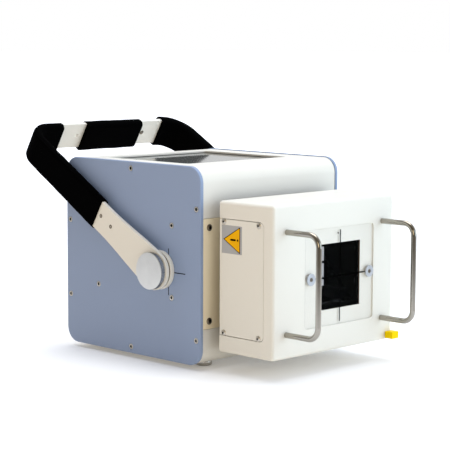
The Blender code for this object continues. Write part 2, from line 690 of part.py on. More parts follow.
def cover_outline(shrink, past_rear):
    """A side cover's outline: round front corners, square rear ones at the housing's rear edge."""
    front = HOUSING_REAR - COVER_LENGTH + shrink
    rear = HOUSING_REAR + past_rear
    low = COVER_LOW + shrink
    high = COVER_HIGH - shrink
    radius = COVER_CORNER - shrink
    return ([(rear, high)] + arc((front + radius, high - radius), radius, 90.0, 180.0)
            + arc((front + radius, low + radius), radius, 180.0, 270.0) + [(rear, low)])


def make_side_covers(cream, case):
    for side, name in ((-1, "collimator_cover_left"), (1, "collimator_cover_right")):
        bm = bmesh.new()
        x_range = sorted_pair(side * HOUSING_IN_X, side * HOUSING_SIDE)
        add_prism(bm, cover_outline(FIT_GAP, -FIT_GAP), "X", *x_range)
        cover = finish(name, bm, cream, case)
        if side > 0:
            holes = bmesh.new()
            radius = SHUTTER_SHAFT_RADIUS + FIT_GAP
            for knob_z in shutter_knob_heights():
                add_turned(holes, [(0.0, -CUT_PAST), (radius, -CUT_PAST), (radius, HOUSING_WALL + CUT_PAST),
                                   (0.0, HOUSING_WALL + CUT_PAST)],
                           "X", (HOUSING_IN_X, SHUTTER_KNOB_Y, knob_z), SMALL_SIDES)
            combine(cover, holes, "DIFFERENCE")


def make_back_plate(aluminium, case):
    inside = HOUSING_REAR - BACK_PLATE_THICKNESS
    bm = bmesh.new()
    add_box(bm, (-HOUSING_IN_X + FIT_GAP, HOUSING_IN_X - FIT_GAP), (inside, HOUSING_REAR),
            (HOUSING_IN_LOW + FIT_GAP, HOUSING_IN_HIGH - FIT_GAP))
    plate = finish("collimator_back_plate", bm, aluminium, case, smooth=True)
    ring = bmesh.new()
    ring_start = inside + BACK_PLATE_THICKNESS / 2
    ring_end = -FLANGE_STANDOFF - FIT_GAP
    add_turned(ring, [(0.0, ring_start), (TURN_RING_RADIUS, ring_start), (TURN_RING_RADIUS, ring_end),
                      (0.0, ring_end)], "Y", (BEAM_X, 0.0, BEAM_Z), ROUND_SIDES)
    combine(plate, ring, "UNION")
    port = bmesh.new()
    start = inside - CUT_PAST
    end = ring_end + CUT_PAST
    add_turned(port, [(0.0, start), (PORT_RADIUS, start), (PORT_RADIUS, end), (0.0, end)],
               "Y", (BEAM_X, 0.0, BEAM_Z), ROUND_SIDES)
    combine(plate, port, "DIFFERENCE")


def make_window_panel(clear, steel, case):
    face = HOUSING_FRONT - PANEL_PROUD
    bm = bmesh.new()
    outline = rounded(around(BEAM_X, PANEL_WIDTH), around(BEAM_Z, PANEL_HEIGHT), PANEL_CORNER)
    add_prism(bm, outline, "Y", face, face + PANEL_THICKNESS)
    finish("window_panel", bm, clear, case)
    for side, name in ((-1, "window_disc_left"), (1, "window_disc_right")):
        bm = bmesh.new()
        add_turned(bm, [(0.0, 0.0), (DISC_RADIUS, 0.0), (DISC_RADIUS, DISC_THICKNESS - EDGE_BREAK / 2),
                        (DISC_RADIUS - EDGE_BREAK / 2, DISC_THICKNESS), (0.0, DISC_THICKNESS)],
                   "Y", (BEAM_X + side * DISC_OFFSET, face - FIT_GAP, BEAM_Z), SMALL_SIDES, -1.0)
        finish(name, bm, steel, case, smooth=True)


def guard_path():
    """The rod's middle line in (y, z), from the lower foot round to the upper one."""
    foot = HOUSING_FRONT - FIT_GAP
    out = HOUSING_FRONT - GUARD_REACH
    low = GUARD_CENTRE_Z - GUARD_HALF_SPAN
    high = GUARD_CENTRE_Z + GUARD_HALF_SPAN
    return ([(foot, low)] + arc((out + GUARD_BEND, low + GUARD_BEND), GUARD_BEND, 270.0, 180.0)
            + arc((out + GUARD_BEND, high - GUARD_BEND), GUARD_BEND, 180.0, 90.0) + [(foot, high)])


def make_guard_handles(steel, case):
    for side, name in ((-1, "guard_handle_left"), (1, "guard_handle_right")):
        bm = bmesh.new()
        points = guard_path()
        rings = []
        for index, (y, z) in enumerate(points):
            ahead = Vector(points[min(index + 1, len(points) - 1)])
            behind = Vector(points[max(index - 1, 0)])
            along = (ahead - behind).normalized()
            if index in (0, len(points) - 1):
                along = Vector((-1.0, 0.0)) if index == 0 else Vector((1.0, 0.0))
            ring = []
            for step in range(SMALL_SIDES // 2):
                angle = math.tau * step / (SMALL_SIDES // 2)
                off = GUARD_RADIUS * math.cos(angle)
                ring.append(bm.verts.new((side * GUARD_OFFSET_X + GUARD_RADIUS * math.sin(angle),
                                          y - along.y * off, z + along.x * off)))
            rings.append(ring)
        join_rings(bm, rings)
        finish(name, bm, steel, case, smooth=True)


def join_rings(bm, rings):
    """Skins a row of rings and closes the two ends."""
    for first, second in zip(rings, rings[1:]):
        for step in range(len(first)):
            after = (step + 1) % len(first)
            bm.faces.new((first[step], first[after], second[after], second[step]))
    bm.faces.new(rings[0])
    bm.faces.new(rings[-1])


def shutter_layers():
    """Depths of the shutter frame and of the two blade layers in front of it."""
    frame = (HOUSING_IN_FRONT + SHUTTER_FRAME_SETBACK, HOUSING_IN_FRONT + SHUTTER_FRAME_SETBACK
             + SHUTTER_FRAME_THICKNESS)
    near = (frame[0] - FIT_GAP - BLADE_THICKNESS, frame[0] - FIT_GAP)
    far = (near[0] - FIT_GAP - BLADE_THICKNESS, near[0] - FIT_GAP)
    return frame, near, far


def make_shutters(steel, lead, case):
    frame_y, near, far = shutter_layers()
    half_x = WINDOW_WIDTH / 2
    half_z = WINDOW_HEIGHT / 2
    bm = bmesh.new()
    add_box(bm, (-HOUSING_IN_X + FIT_GAP, HOUSING_IN_X - FIT_GAP), frame_y,
            (SHUTTER_FRAME_LOW, HOUSING_IN_HIGH - FIT_GAP))
    frame = finish("shutter_frame", bm, steel, case)
    hole = bmesh.new()
    add_box(hole, around(BEAM_X, WINDOW_WIDTH + 2 * SHUTTER_MARGIN),
            (frame_y[0] - CUT_PAST, frame_y[1] + CUT_PAST),
            around(BEAM_Z, WINDOW_HEIGHT + 2 * SHUTTER_MARGIN))
    combine(frame, hole, "DIFFERENCE")
    across = around(BEAM_X, WINDOW_WIDTH + 2 * BLADE_OVERLAP)
    upright = around(BEAM_Z, WINDOW_HEIGHT + 2 * BLADE_OVERLAP)
    inner_x = half_x + BLADE_CLEAR
    inner_z = half_z + BLADE_CLEAR
    blades = {
        "blade_left": ((BEAM_X - inner_x - BLADE_REACH, BEAM_X - inner_x), near, upright),
        "blade_right": ((BEAM_X + inner_x, BEAM_X + inner_x + BLADE_REACH), near, upright),
        "blade_top": (across, far, (BEAM_Z + inner_z, BEAM_Z + inner_z + BLADE_REACH)),
        "blade_bottom": (across, far, (BEAM_Z - inner_z - BLADE_REACH, BEAM_Z - inner_z)),
    }
    for name, ranges in blades.items():
        bm = bmesh.new()
        add_box(bm, *ranges)
        finish(name, bm, lead, case)


def make_mirror_and_lamp(mirror_glass, dark, glass, case):
    """A thin mirror at 45 degrees across the beam, lit from above by the field lamp."""
    rear = HOUSING_REAR - BACK_PLATE_THICKNESS - FIT_GAP
    front = shutter_layers()[0][1] + MIRROR_FRONT_GAP
    half = (rear - front) / 2
    slant = MIRROR_THICKNESS * math.sqrt(2.0)
    outline = [(front, BEAM_Z - half - slant), (rear, BEAM_Z + half - slant), (rear, BEAM_Z + half),
               (front, BEAM_Z - half)]
    bm = bmesh.new()
    add_prism(bm, outline, "X", BEAM_X - MIRROR_HALF_WIDTH, BEAM_X + MIRROR_HALF_WIDTH)
    finish("light_mirror", bm, mirror_glass, case)
    width, depth, height = LAMP_HOLDER_SIZE
    lamp_y = (rear + front) / 2
    top = HOUSING_IN_HIGH - FIT_GAP
    bm = bmesh.new()
    add_box(bm, around(BEAM_X, width), around(lamp_y, depth), (top - height, top))
    finish("lamp_holder", bm, dark, case)
    bm = bmesh.new()
    tip = LAMP_RADIUS / 2
    add_turned(bm, [(0.0, -LAMP_LENGTH), (tip, -LAMP_LENGTH), (LAMP_RADIUS, tip - LAMP_LENGTH),
                    (LAMP_RADIUS, 0.0), (0.0, 0.0)],
               "Z", (BEAM_X, lamp_y, top - height - FIT_GAP), SMALL_SIDES)
    finish("lamp_bulb", bm, glass, case, smooth=True)


def shutter_knob_heights():
    """Heights of the two shutter knobs' shafts."""
    return (BEAM_Z + SHUTTER_KNOB_SPREAD, BEAM_Z - SHUTTER_KNOB_SPREAD)


def make_shutter_knobs(black, case):
    chamfer = 2 * EDGE_BREAK
    profile = [(0.0, -SHUTTER_SHAFT_LENGTH), (SHUTTER_SHAFT_RADIUS, -SHUTTER_SHAFT_LENGTH),
               (SHUTTER_SHAFT_RADIUS, 0.0), (SHUTTER_KNOB_RADIUS, 0.0),
               (SHUTTER_KNOB_RADIUS, SHUTTER_KNOB_LENGTH - chamfer),
               (SHUTTER_KNOB_RADIUS - chamfer, SHUTTER_KNOB_LENGTH), (0.0, SHUTTER_KNOB_LENGTH)]
    for name, knob_z in zip(("shutter_knob_width", "shutter_knob_height"), shutter_knob_heights()):
        bm = bmesh.new()
        add_turned(bm, profile, "X", (0.0, 0.0, 0.0), SMALL_SIDES)
        knob = finish(name, bm, black, case, smooth=True)
        knob.location = (HOUSING_SIDE + FIT_GAP, SHUTTER_KNOB_Y, knob_z)


# Tape measure -------------------------------------------------------------------------------------

def tape_slot():
    """The slot that the tape's strip runs in, in x and z."""
    centre_x = HOUSING_SIDE - TAPE_STRIP_INSET
    centre_z = HOUSING_LOW + TAPE_RISE
    return (around(centre_x, TAPE_STRIP_WIDTH + 2 * TAPE_SLOT_GAP),
            around(centre_z, TAPE_STRIP_THICKNESS + 2 * TAPE_SLOT_GAP))


def make_tape(black, yellow, case):
    slot_x, slot_z = tape_slot()
    front = HOUSING_IN_FRONT + FIT_GAP
    bm = bmesh.new()
    right = HOUSING_IN_X - FIT_GAP
    low = HOUSING_IN_LOW + FIT_GAP
    add_box(bm, (right - TAPE_CASE_WIDTH, right), (front, front + TAPE_CASE_LENGTH),
            (low, low + TAPE_CASE_HEIGHT))
    tape_case = finish("tape_case", bm, black, case)
    slot = bmesh.new()
    add_box(slot, slot_x, (front - CUT_PAST, HOUSING_FRONT + TAPE_STRIP_LENGTH + TAPE_SLOT_GAP), slot_z)
    combine(tape_case, slot, "DIFFERENCE")
    bm = bmesh.new()
    strip_x = (slot_x[0] + TAPE_SLOT_GAP, slot_x[1] - TAPE_SLOT_GAP)
    strip_z = (slot_z[0] + TAPE_SLOT_GAP, slot_z[1] - TAPE_SLOT_GAP)
    middle_x = sum(strip_x) / 2
    middle_z = sum(strip_z) / 2
    face = HOUSING_FRONT - FIT_GAP
    tab_x = around(middle_x + (TAB_WIDTH - TAPE_STRIP_WIDTH) / 2 - TAPE_SLOT_GAP, TAB_WIDTH)
    add_box(bm, tab_x, (face - TAB_LENGTH, face), around(middle_z, TAB_HEIGHT))
    tab = finish("tape_tab", bm, yellow, case)
    strip = bmesh.new()
    add_box(strip, strip_x, (face - TAB_LENGTH / 2, HOUSING_FRONT + TAPE_STRIP_LENGTH), strip_z)
    combine(tab, strip, "UNION")


# Carrying handle ----------------------------------------------------------------------------------

def bar_length_to_crossbar():
    """Length along the bar from the pivot's level to the start of the straight crossbar."""
    return HANDLE_REACH - HANDLE_BEND + HANDLE_BEND * math.pi / 2


def bar_total_length():
    return 2 * bar_length_to_crossbar() + 2 * (ARM_X - HANDLE_BEND)


def crossbar_station(x):
    """Distance along the bar of a point on the crossbar."""
    return bar_length_to_crossbar() + x + ARM_X - HANDLE_BEND


def bar_frame(station):
    """The bar's middle line at a distance along it: a point and the outward direction, in (x, z)."""
    arm = HANDLE_REACH - HANDLE_BEND
    to_crossbar = bar_length_to_crossbar()
    from_end = bar_total_length() - station
    mirrored = station > from_end
    near = min(station, from_end)
    if near <= arm:
        point = Vector((-ARM_X, near))
        outward = Vector((-1.0, 0.0))
    elif near < to_crossbar:
        angle = math.pi - (near - arm) / HANDLE_BEND
        outward = Vector((math.cos(angle), math.sin(angle)))
        point = Vector((HANDLE_BEND - ARM_X, arm)) + outward * HANDLE_BEND
    else:
        point = Vector((HANDLE_BEND - ARM_X + near - to_crossbar, HANDLE_REACH))
        outward = Vector((0.0, 1.0))
    if mirrored:
        point.x = -point.x
        outward.x = -outward.x
    return point, outward


def bar_stations(start, end):
    """Distances along the bar from start to end, with steps round the two bends."""
    arm = HANDLE_REACH - HANDLE_BEND
    total = bar_total_length()
    steps = 2 * CORNER_STEPS
    bend = [arm + HANDLE_BEND * math.pi / 2 * step / steps for step in range(steps + 1)]
    inside = [station for station in bend + [total - station for station in bend] if start < station < end]
    return [start] + sorted(inside) + [end]


def sweep(bm, stations, section_at):
    """Rings of a section along the bar; section_at gives (outward, sideways) points for a station."""
    rings = []
    for station in stations:
        point, outward = bar_frame(station)
        ring = []
        for out, side in section_at(station):
            place = point + outward * out
            ring.append(bm.verts.new((place.x, side, place.y)))
        rings.append(ring)
    return rings


def bar_half_width(station):
    """Half the bar's width: a round end, then a taper down to the straight bar."""
    near = min(station, bar_total_length() - station)
    if near < 0.0:
        return math.sqrt(max(BAR_END_RADIUS ** 2 - near ** 2, 0.0))
    share = min(near / BAR_TAPER, 1.0)
    eased = share * share * (3.0 - 2.0 * share)
    return BAR_END_RADIUS + (BAR_WIDTH / 2 - BAR_END_RADIUS) * eased


def make_handle_bar(cream, handle):
    steps = 2 * CORNER_STEPS
    round_end = [-BAR_END_RADIUS * math.cos(math.pi / 2 * (step + 0.5) / steps) for step in range(steps)]
    taper = [BAR_TAPER * step / CORNER_STEPS for step in range(CORNER_STEPS + 1)]
    start = round_end + taper
    total = bar_total_length()
    middle = bar_stations(BAR_TAPER, total - BAR_TAPER)[1:-1]
    stations = start + middle + [total - station for station in start[::-1]]
    half = BAR_THICKNESS / 2

    def section(station):
        wide = bar_half_width(station)
        return [(half, wide), (half, -wide), (-half, -wide), (-half, wide)]

    bm = bmesh.new()
    join_rings(bm, sweep(bm, stations, section))
    bar = finish("handle_bar", bm, cream, handle, smooth=True)
    holes = bmesh.new()
    for side in (-1, 1):
        add_turned(holes, [(0.0, -BAR_THICKNESS), (STUD_RADIUS + FIT_GAP, -BAR_THICKNESS),
                           (STUD_RADIUS + FIT_GAP, BAR_THICKNESS), (0.0, BAR_THICKNESS)],
                   "X", (side * ARM_X, 0.0, 0.0), SMALL_SIDES)
    for x in (BAR_HOLE_LEFT_X, BAR_HOLE_RIGHT_X):
        add_turned(holes, [(0.0, -BAR_THICKNESS), (BAR_HOLE_RADIUS, -BAR_THICKNESS),
                           (BAR_HOLE_RADIUS, BAR_THICKNESS), (0.0, BAR_THICKNESS)],
                   "Z", (x, 0.0, HANDLE_REACH), SMALL_SIDES // 2)
    combine(bar, holes, "DIFFERENCE")


def make_grips(foam, handle):
    """Foam sleeves pushed over the bar: one round each bend and one on the crossbar."""
    spans = {
        "grip_left": (GRIP_START, crossbar_station(GRIP_LEFT_END_X)),
        "grip_centre": tuple(crossbar_station(x) for x in GRIP_CENTRE_X),
        "grip_right": (crossbar_station(GRIP_RIGHT_END_X), bar_total_length() - GRIP_START),
    }
    outer = rounded(around(0.0, GRIP_THICKNESS), around(0.0, GRIP_WIDTH), GRIP_CORNER)
    inner = rounded(around(0.0, BAR_THICKNESS + 2 * FIT_GAP), around(0.0, BAR_WIDTH + 2 * FIT_GAP), FIT_GAP)
    for name, (start, end) in spans.items():
        bm = bmesh.new()
        stations = bar_stations(start, end)
        skins = [sweep(bm, stations, lambda station, loop=loop: loop) for loop in (outer, inner)]
        for rings in skins:
            for first, second in zip(rings, rings[1:]):
                for step in range(len(first)):
                    after = (step + 1) % len(first)
                    bm.faces.new((first[step], first[after], second[after], second[step]))
        for end_index in (0, -1):
            out_ring, in_ring = skins[0][end_index], skins[1][end_index]
            for step in range(len(out_ring)):
                after = (step + 1) % len(out_ring)
                bm.faces.new((out_ring[step], out_ring[after], in_ring[after], in_ring[step]))
        finish(name, bm, foam, handle, smooth=True)


def make_pivots(cream, steel, aluminium, case):
    bore = STUD_RADIUS + FIT_GAP
    boss = [(bore, FIT_GAP), (BOSS_RADIUS, FIT_GAP), (BOSS_RADIUS, FIT_GAP + BOSS_THICKNESS - EDGE_BREAK),
            (BOSS_RADIUS - EDGE_BREAK, FIT_GAP + BOSS_THICKNESS), (bore, FIT_GAP + BOSS_THICKNESS)]
    head = -PLATE_THICKNESS - FIT_GAP
    stud_end = KNOB_IN + KNOB_BORE_DEPTH - FIT_GAP
    stud = [(0.0, head - STUD_HEAD_THICKNESS), (STUD_HEAD_RADIUS, head - STUD_HEAD_THICKNESS),
            (STUD_HEAD_RADIUS, head), (STUD_RADIUS, head), (STUD_RADIUS, stud_end), (0.0, stud_end)]
    knob = [(0.0, KNOB_BORE_DEPTH), (bore, KNOB_BORE_DEPTH), (bore, 0.0), (KNOB_RADIUS - EDGE_BREAK, 0.0),
            (KNOB_RADIUS, EDGE_BREAK), (KNOB_RADIUS, KNOB_THICKNESS - EDGE_BREAK),
            (KNOB_RADIUS - EDGE_BREAK, KNOB_THICKNESS), (0.0, KNOB_THICKNESS)]
    for side, side_name in ((-1, "left"), (1, "right")):
        face = (side * BODY_WIDTH / 2, PIVOT_Y, PIVOT_Z)
        bm = bmesh.new()
        add_turned(bm, boss, "X", face, ROUND_SIDES, side)
        finish(f"pivot_boss_{side_name}", bm, cream, case, smooth=True)
        bm = bmesh.new()
        add_turned(bm, stud, "X", face, SMALL_SIDES, side)
        finish(f"pivot_stud_{side_name}", bm, steel, case, smooth=True)
        bm = bmesh.new()
        add_turned(bm, knob, "X", (0.0, 0.0, 0.0), ROUND_SIDES, side)
        piece = finish(f"clamp_knob_{side_name}", bm, aluminium, case, smooth=True)
        piece.location = (side * (BODY_WIDTH / 2 + KNOB_IN), PIVOT_Y, PIVOT_Z)


def build():
    for old in list(bpy.data.objects):
        bpy.data.objects.remove(old, do_unlink=True)
    blue = paint("blue_paint", (0.25, 0.32, 0.46), 0.45)
    cream = paint("cream_paint", (0.72, 0.66, 0.53), 0.4)
    white = paint("white_paint", (0.83, 0.83, 0.80), 0.35)
    foam = paint("black_foam", (0.004, 0.004, 0.005), 0.95)
    steel = paint("stainless_steel", (0.55, 0.54, 0.51), 0.3, 1.0)
    aluminium = paint("machined_aluminium", (0.62, 0.62, 0.60), 0.35, 1.0)
    black = paint("black_plastic", (0.015, 0.015, 0.016), 0.5)
    yellow = paint("yellow_plastic", (0.76, 0.50, 0.02), 0.45)
    screen = paint("dark_glass", (0.02, 0.025, 0.03), 0.08)
    clear = paint("clear_acrylic", (0.85, 0.87, 0.88), 0.08)
    lead = paint("dark_lead", (0.05, 0.05, 0.055), 0.6, 0.6)
    board = paint("green_board", (0.02, 0.12, 0.05), 0.5)
    copper = paint("copper", (0.75, 0.36, 0.22), 0.35, 1.0)

    middle = (FRONT_MOST + REAR_MOST) / 2
    case = frame_empty("case_frame", (0.0, -middle, FOOT_HEIGHT))
    handle = frame_empty("handle_pivot", (0.0, PIVOT_Y, PIVOT_Z), case, -HANDLE_LEAN)

    make_side_plate(-1, "side_plate_left", blue, case)
    make_side_plate(1, "side_plate_right", blue, case)
    make_top_cover(white, case)
    make_base_tray(white, case)
    make_front_panel(cream, case)
    make_rear_panel(cream, case)
    make_rails(aluminium, case)
    make_feet(steel, case)
    make_display(screen, black, board, case)
    tank_front = make_tank(steel, case)
    make_tube(clear, copper, steel, case)
    make_power_module(aluminium, case)
    outside = make_inlet(black, case)
    make_rocker(outside, black, case)
    make_jack(steel, case)
    make_port_flange(tank_front, aluminium, case)
    make_housing(white, case)
    make_side_covers(cream, case)
    make_back_plate(aluminium, case)
    make_window_panel(clear, steel, case)
    make_guard_handles(steel, case)
    make_shutters(steel, lead, case)
    make_mirror_and_lamp(screen, black, clear, case)
    make_shutter_knobs(black, case)
    make_tape(black, yellow, case)
    make_pivots(cream, steel, aluminium, case)
    make_handle_bar(cream, handle)
    make_grips(foam, handle)


build()
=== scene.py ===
import math

import bmesh
import bpy
from mathutils import Matrix, Vector, noise


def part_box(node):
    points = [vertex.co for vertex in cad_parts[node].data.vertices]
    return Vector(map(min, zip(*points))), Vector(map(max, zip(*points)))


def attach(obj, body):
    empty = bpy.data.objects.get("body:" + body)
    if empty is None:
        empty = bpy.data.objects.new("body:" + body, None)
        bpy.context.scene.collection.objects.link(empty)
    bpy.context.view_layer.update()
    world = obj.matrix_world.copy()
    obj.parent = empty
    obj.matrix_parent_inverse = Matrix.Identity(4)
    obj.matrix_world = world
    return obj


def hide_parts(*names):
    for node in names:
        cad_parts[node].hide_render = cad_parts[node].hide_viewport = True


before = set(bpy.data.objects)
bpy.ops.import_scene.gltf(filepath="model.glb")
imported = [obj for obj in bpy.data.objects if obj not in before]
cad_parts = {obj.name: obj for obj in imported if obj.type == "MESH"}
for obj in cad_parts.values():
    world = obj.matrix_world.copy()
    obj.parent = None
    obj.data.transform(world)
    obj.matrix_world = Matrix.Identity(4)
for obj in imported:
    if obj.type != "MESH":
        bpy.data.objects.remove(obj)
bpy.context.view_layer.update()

# Studio -------------------------------------------------------------------------------------------
# A pale paper floor under one broad softbox in front and to the right, a second overhead and a weak
# warm one on the left. The room behind the camera is dim and warm, which shows in the bare metal.

CASE_ZERO = Vector((0.0, *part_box("side_plate_left")[0].yz))
CAMERA_PLACE = Vector((-1.1984, -1.1965, 0.3303))
CAMERA_YAW = math.radians(45.19)
CAMERA_PITCH = math.radians(6.63)
CAMERA_ROLL = math.radians(0.23)
CAMERA_LENS = 128.08
FLOOR_REACH = 30.0
PAPER = (0.93, 0.93, 0.93)
NEAR_GLOW = 0.13
FAR_GLOW = 0.60
GLOW_STARTS = 0.7
GLOW_ENDS = 2.5
NEAR_FLOOR = 0.45
FAR_FLOOR = 0.95
BOUNCE_WAY = (0.7, -0.7, 0.0)
BOUNCE_REACH = 0.6
BOUNCE = ((0.0, (0.74, 0.59, 0.43, 1.0)), (0.55, (0.84, 0.79, 0.71, 1.0)), (1.0, (0.88, 1.0, 1.0, 1.0)))
CAMERA_SIDE = (-0.70, -0.70)
METAL_ROOM = ((0.0, (0.80, 0.80, 0.80, 1.0)), (0.50, (0.56, 0.56, 0.55, 1.0)),
              (0.80, (0.26, 0.23, 0.185, 1.0)), (1.0, (0.14, 0.12, 0.09, 1.0)))
ROOM = ((0.35, (0.99, 1.08, 1.24, 1.0)), (0.95, (0.20, 0.13, 0.05, 1.0)))
ROOM_WAY = (-0.95, -0.25, -0.18)

camera = bpy.data.objects.new("camera", bpy.data.cameras.new("camera"))
camera.data.sensor_width = 36.0
camera.data.lens = CAMERA_LENS
camera.data.clip_end = 100.0
camera.matrix_world = (Matrix.Translation(CAMERA_PLACE) @ Matrix.Rotation(-CAMERA_YAW, 4, "Z")
                       @ Matrix.Rotation(math.pi / 2 - CAMERA_PITCH, 4, "X")
                       @ Matrix.Rotation(CAMERA_ROLL, 4, "Z"))
bpy.context.scene.collection.objects.link(camera)
bpy.context.scene.camera = camera
bpy.context.scene.view_settings.view_transform = "Standard"


def feed(socket, value):
    """Gives one input a plain value, or links an output to it."""
    if isinstance(value, bpy.types.NodeSocket):
        socket.id_data.links.new(value, socket)
    else:
        socket.default_value = value


def set_inputs(node, **inputs):
    """Gives a node's inputs plain values, or links other nodes' outputs to them."""
    for name, value in inputs.items():
        feed(node.inputs[name.replace("_", " ")], value)


def add_node(tree, kind, settings=None, **inputs):
    """A shader node with its settings and its inputs."""
    added = tree.nodes.new(kind)
    for name, value in (settings or {}).items():
        setattr(added, name, value)
    set_inputs(added, **inputs)
    return added


def worked_out(tree, operation, *values, kind="Math", result=0):
    """The result of a maths node, or of a vector maths node, on outputs and plain values."""
    added = add_node(tree, f"ShaderNode{kind}", {"operation": operation})
    for socket, value in zip(added.inputs, values):
        feed(socket, value)
    return added.outputs[result]


def blended(tree, factor, first, second):
    """The mix of two colours by a factor."""
    mixer = add_node(tree, "ShaderNodeMix", {"data_type": "RGBA"}, Factor=factor, A=first, B=second)
    return mixer.outputs["Result"]


def ramped(tree, value, low, high, stops):
    """A colour that runs through (position, colour) stops while a value goes from low to high."""
    share = add_node(tree, "ShaderNodeMapRange", From_Min=low, From_Max=high, Value=value)
    ramp = add_node(tree, "ShaderNodeValToRGB", Fac=share.outputs["Result"])
    elements = ramp.color_ramp.elements
    elements[0].position, elements[0].color = stops[0]
    elements[1].position, elements[1].color = stops[-1]
    for position, colour in stops[1:-1]:
        elements.new(position).color = colour
    return ramp.outputs["Color"]


def noisy(tree, place, scale, detail, **inputs):
    """A noise texture's value at a place."""
    texture = add_node(tree, "ShaderNodeTexNoise", Vector=place, Scale=scale, Detail=detail, **inputs)
    return texture.outputs["Fac"]


def new_material(name):
    """A material, with its node tree, its shader and the place on the object that its patterns use."""
    material = bpy.data.materials.new(name)
    material.use_nodes = True
    tree = material.node_tree
    place = add_node(tree, "ShaderNodeTexCoord").outputs["Object"]
    return material, tree, tree.nodes["Principled BSDF"], place


def softbox(name, place, aim, size, watts, colour):
    """A square area light at a place, turned to face its aim."""
    data = bpy.data.lights.new(name, "AREA")
    data.size = size
    data.energy = watts
    data.color = colour
    light = bpy.data.objects.new(name, data)
    turn = (Vector(place) - Vector(aim)).to_track_quat("Z", "Y")
    light.matrix_world = Matrix.Translation(place) @ turn.to_matrix().to_4x4()
    bpy.context.scene.collection.objects.link(light)


softbox("front softbox", (1.4, -2.4, 0.72), (0.0, -0.1, 0.1), 1.6, 17.5, (0.71, 0.93, 1.12))
softbox("top softbox", (0.3, 0.2, 2.3), (0.0, 0.0, 0.0), 1.8, 32.0, (1.0, 0.99, 0.97))
softbox("left softbox", (-2.0, -1.5, 0.7), (0.0, 0.0, 0.1), 1.0, 7.5, (1.0, 0.83, 0.58))

world = bpy.data.worlds.new("studio")
world.use_nodes = True
bpy.context.scene.world = world
air = world.node_tree
air.nodes.clear()
way = add_node(air, "ShaderNodeTexCoord").outputs["Generated"]
path = add_node(air, "ShaderNodeLightPath").outputs


def room_light(towards, stops):
    """A world background that runs through colours from facing away from a direction to facing it."""
    along = worked_out(air, "DOT_PRODUCT", way, Vector(towards).normalized(), kind="VectorMath", result=1)
    return add_node(air, "ShaderNodeBackground", Color=ramped(air, along, -1.0, 1.0, stops)).outputs[0]


def pick(test, otherwise, shown):
    """Shows one background where the test holds and another elsewhere."""
    mixed = add_node(air, "ShaderNodeMixShader", Fac=path[test])
    feed(mixed.inputs[1], otherwise)
    feed(mixed.inputs[2], shown)
    return mixed.outputs[0]


fill = room_light(ROOM_WAY, ROOM)
seen_in_metal = room_light((*CAMERA_SIDE, 0.15), METAL_ROOM)
backdrop = add_node(air, "ShaderNodeBackground", Color=(1.0, 1.0, 1.0, 1.0)).outputs[0]
lit = pick("Is Glossy Ray", fill, seen_in_metal)
add_node(air, "ShaderNodeOutputWorld", Surface=pick("Is Camera Ray", lit, backdrop))

WELD = 1e-6
SMOOTH_BELOW = math.radians(38.0)


def weld(bm):
    """Merges doubles and turns every face outwards."""
    bmesh.ops.remove_doubles(bm, verts=bm.verts[:], dist=WELD)
    bmesh.ops.recalc_face_normals(bm, faces=bm.faces[:])


def new_piece(name, bm, materials, body=None, nodes=()):
    """Makes the bmesh a piece that rides on its body and stands for its CAD nodes."""
    mesh = bpy.data.meshes.new(name)
    bm.to_mesh(mesh)
    bm.free()
    for material in materials if isinstance(materials, (list, tuple)) else (materials,):
        mesh.materials.append(material)
    mesh.shade_smooth()
    mesh.set_sharp_from_angle(angle=SMOOTH_BELOW)
    piece = bpy.data.objects.new(name, mesh)
    bpy.context.scene.collection.objects.link(piece)
    even = piece.modifiers.new("even shading", "WEIGHTED_NORMAL")
    even.keep_sharp = True
    if body:
        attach(piece, body)
    if nodes:
        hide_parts(*nodes)
    return piece


def paper_material():
    """Matt white paper that glows far from the object. It throws back the colours of the studio's two
    sides, and bare metal sees the dim room in it."""
    material, tree, shader, place = new_material("paper")
    ray = add_node(tree, "ShaderNodeLightPath").outputs
    far = worked_out(tree, "LENGTH", place, kind="VectorMath", result=1)
    fibre_and_gap_shade = noisy(tree, place, 3.0, 3.0)
    tint = blended(tree, fibre_and_gap_shade, (*PAPER, 1.0), (*(value * 0.985 for value in PAPER), 1.0))
    across = worked_out(tree, "DOT_PRODUCT", place, BOUNCE_WAY, kind="VectorMath", result=1)
    bounce = ramped(tree, across, -BOUNCE_REACH, BOUNCE_REACH, BOUNCE)
    paper = blended(tree, ray["Is Diffuse Ray"], tint, bounce)
    outwards = worked_out(tree, "NORMALIZE", place, kind="VectorMath")
    along = worked_out(tree, "DOT_PRODUCT", outwards, (*CAMERA_SIDE, 0.0), kind="VectorMath", result=1)
    room = ramped(tree, along, -1.0, 1.0, METAL_ROOM)
    beyond = add_node(tree, "ShaderNodeMapRange", From_Min=NEAR_FLOOR, From_Max=FAR_FLOOR, Value=far)
    mirrored = worked_out(tree, "MULTIPLY", beyond.outputs["Result"], ray["Is Glossy Ray"])
    glow = add_node(tree, "ShaderNodeMapRange", {"interpolation_type": "SMOOTHSTEP"}, From_Min=GLOW_STARTS,
                    From_Max=GLOW_ENDS, To_Min=NEAR_GLOW / FAR_GLOW, Value=far)
    unlit = blended(tree, ray["Is Glossy Ray"], glow.outputs["Result"], (0.0, 0.0, 0.0, 1.0))
    set_inputs(shader, Base_Color=blended(tree, mirrored, paper, room), Roughness=0.9,
               Specular_IOR_Level=0.0, Emission_Color=unlit, Emission_Strength=FAR_GLOW)
    return material


bm = bmesh.new()
bmesh.ops.create_grid(bm, x_segments=1, y_segments=1, size=FLOOR_REACH)
new_piece("floor", bm, paper_material())

# Side plates --------------------------------------------------------------------------------------
# Two 4 mm aluminium plates carry everything else. They are cut with 16.5 mm corners, their outer edge
# is broken, and they are powder coated blue grey. Ten countersunk screws hold each one to the inner
# frame, and a thin printed cross marks the height of the beam.

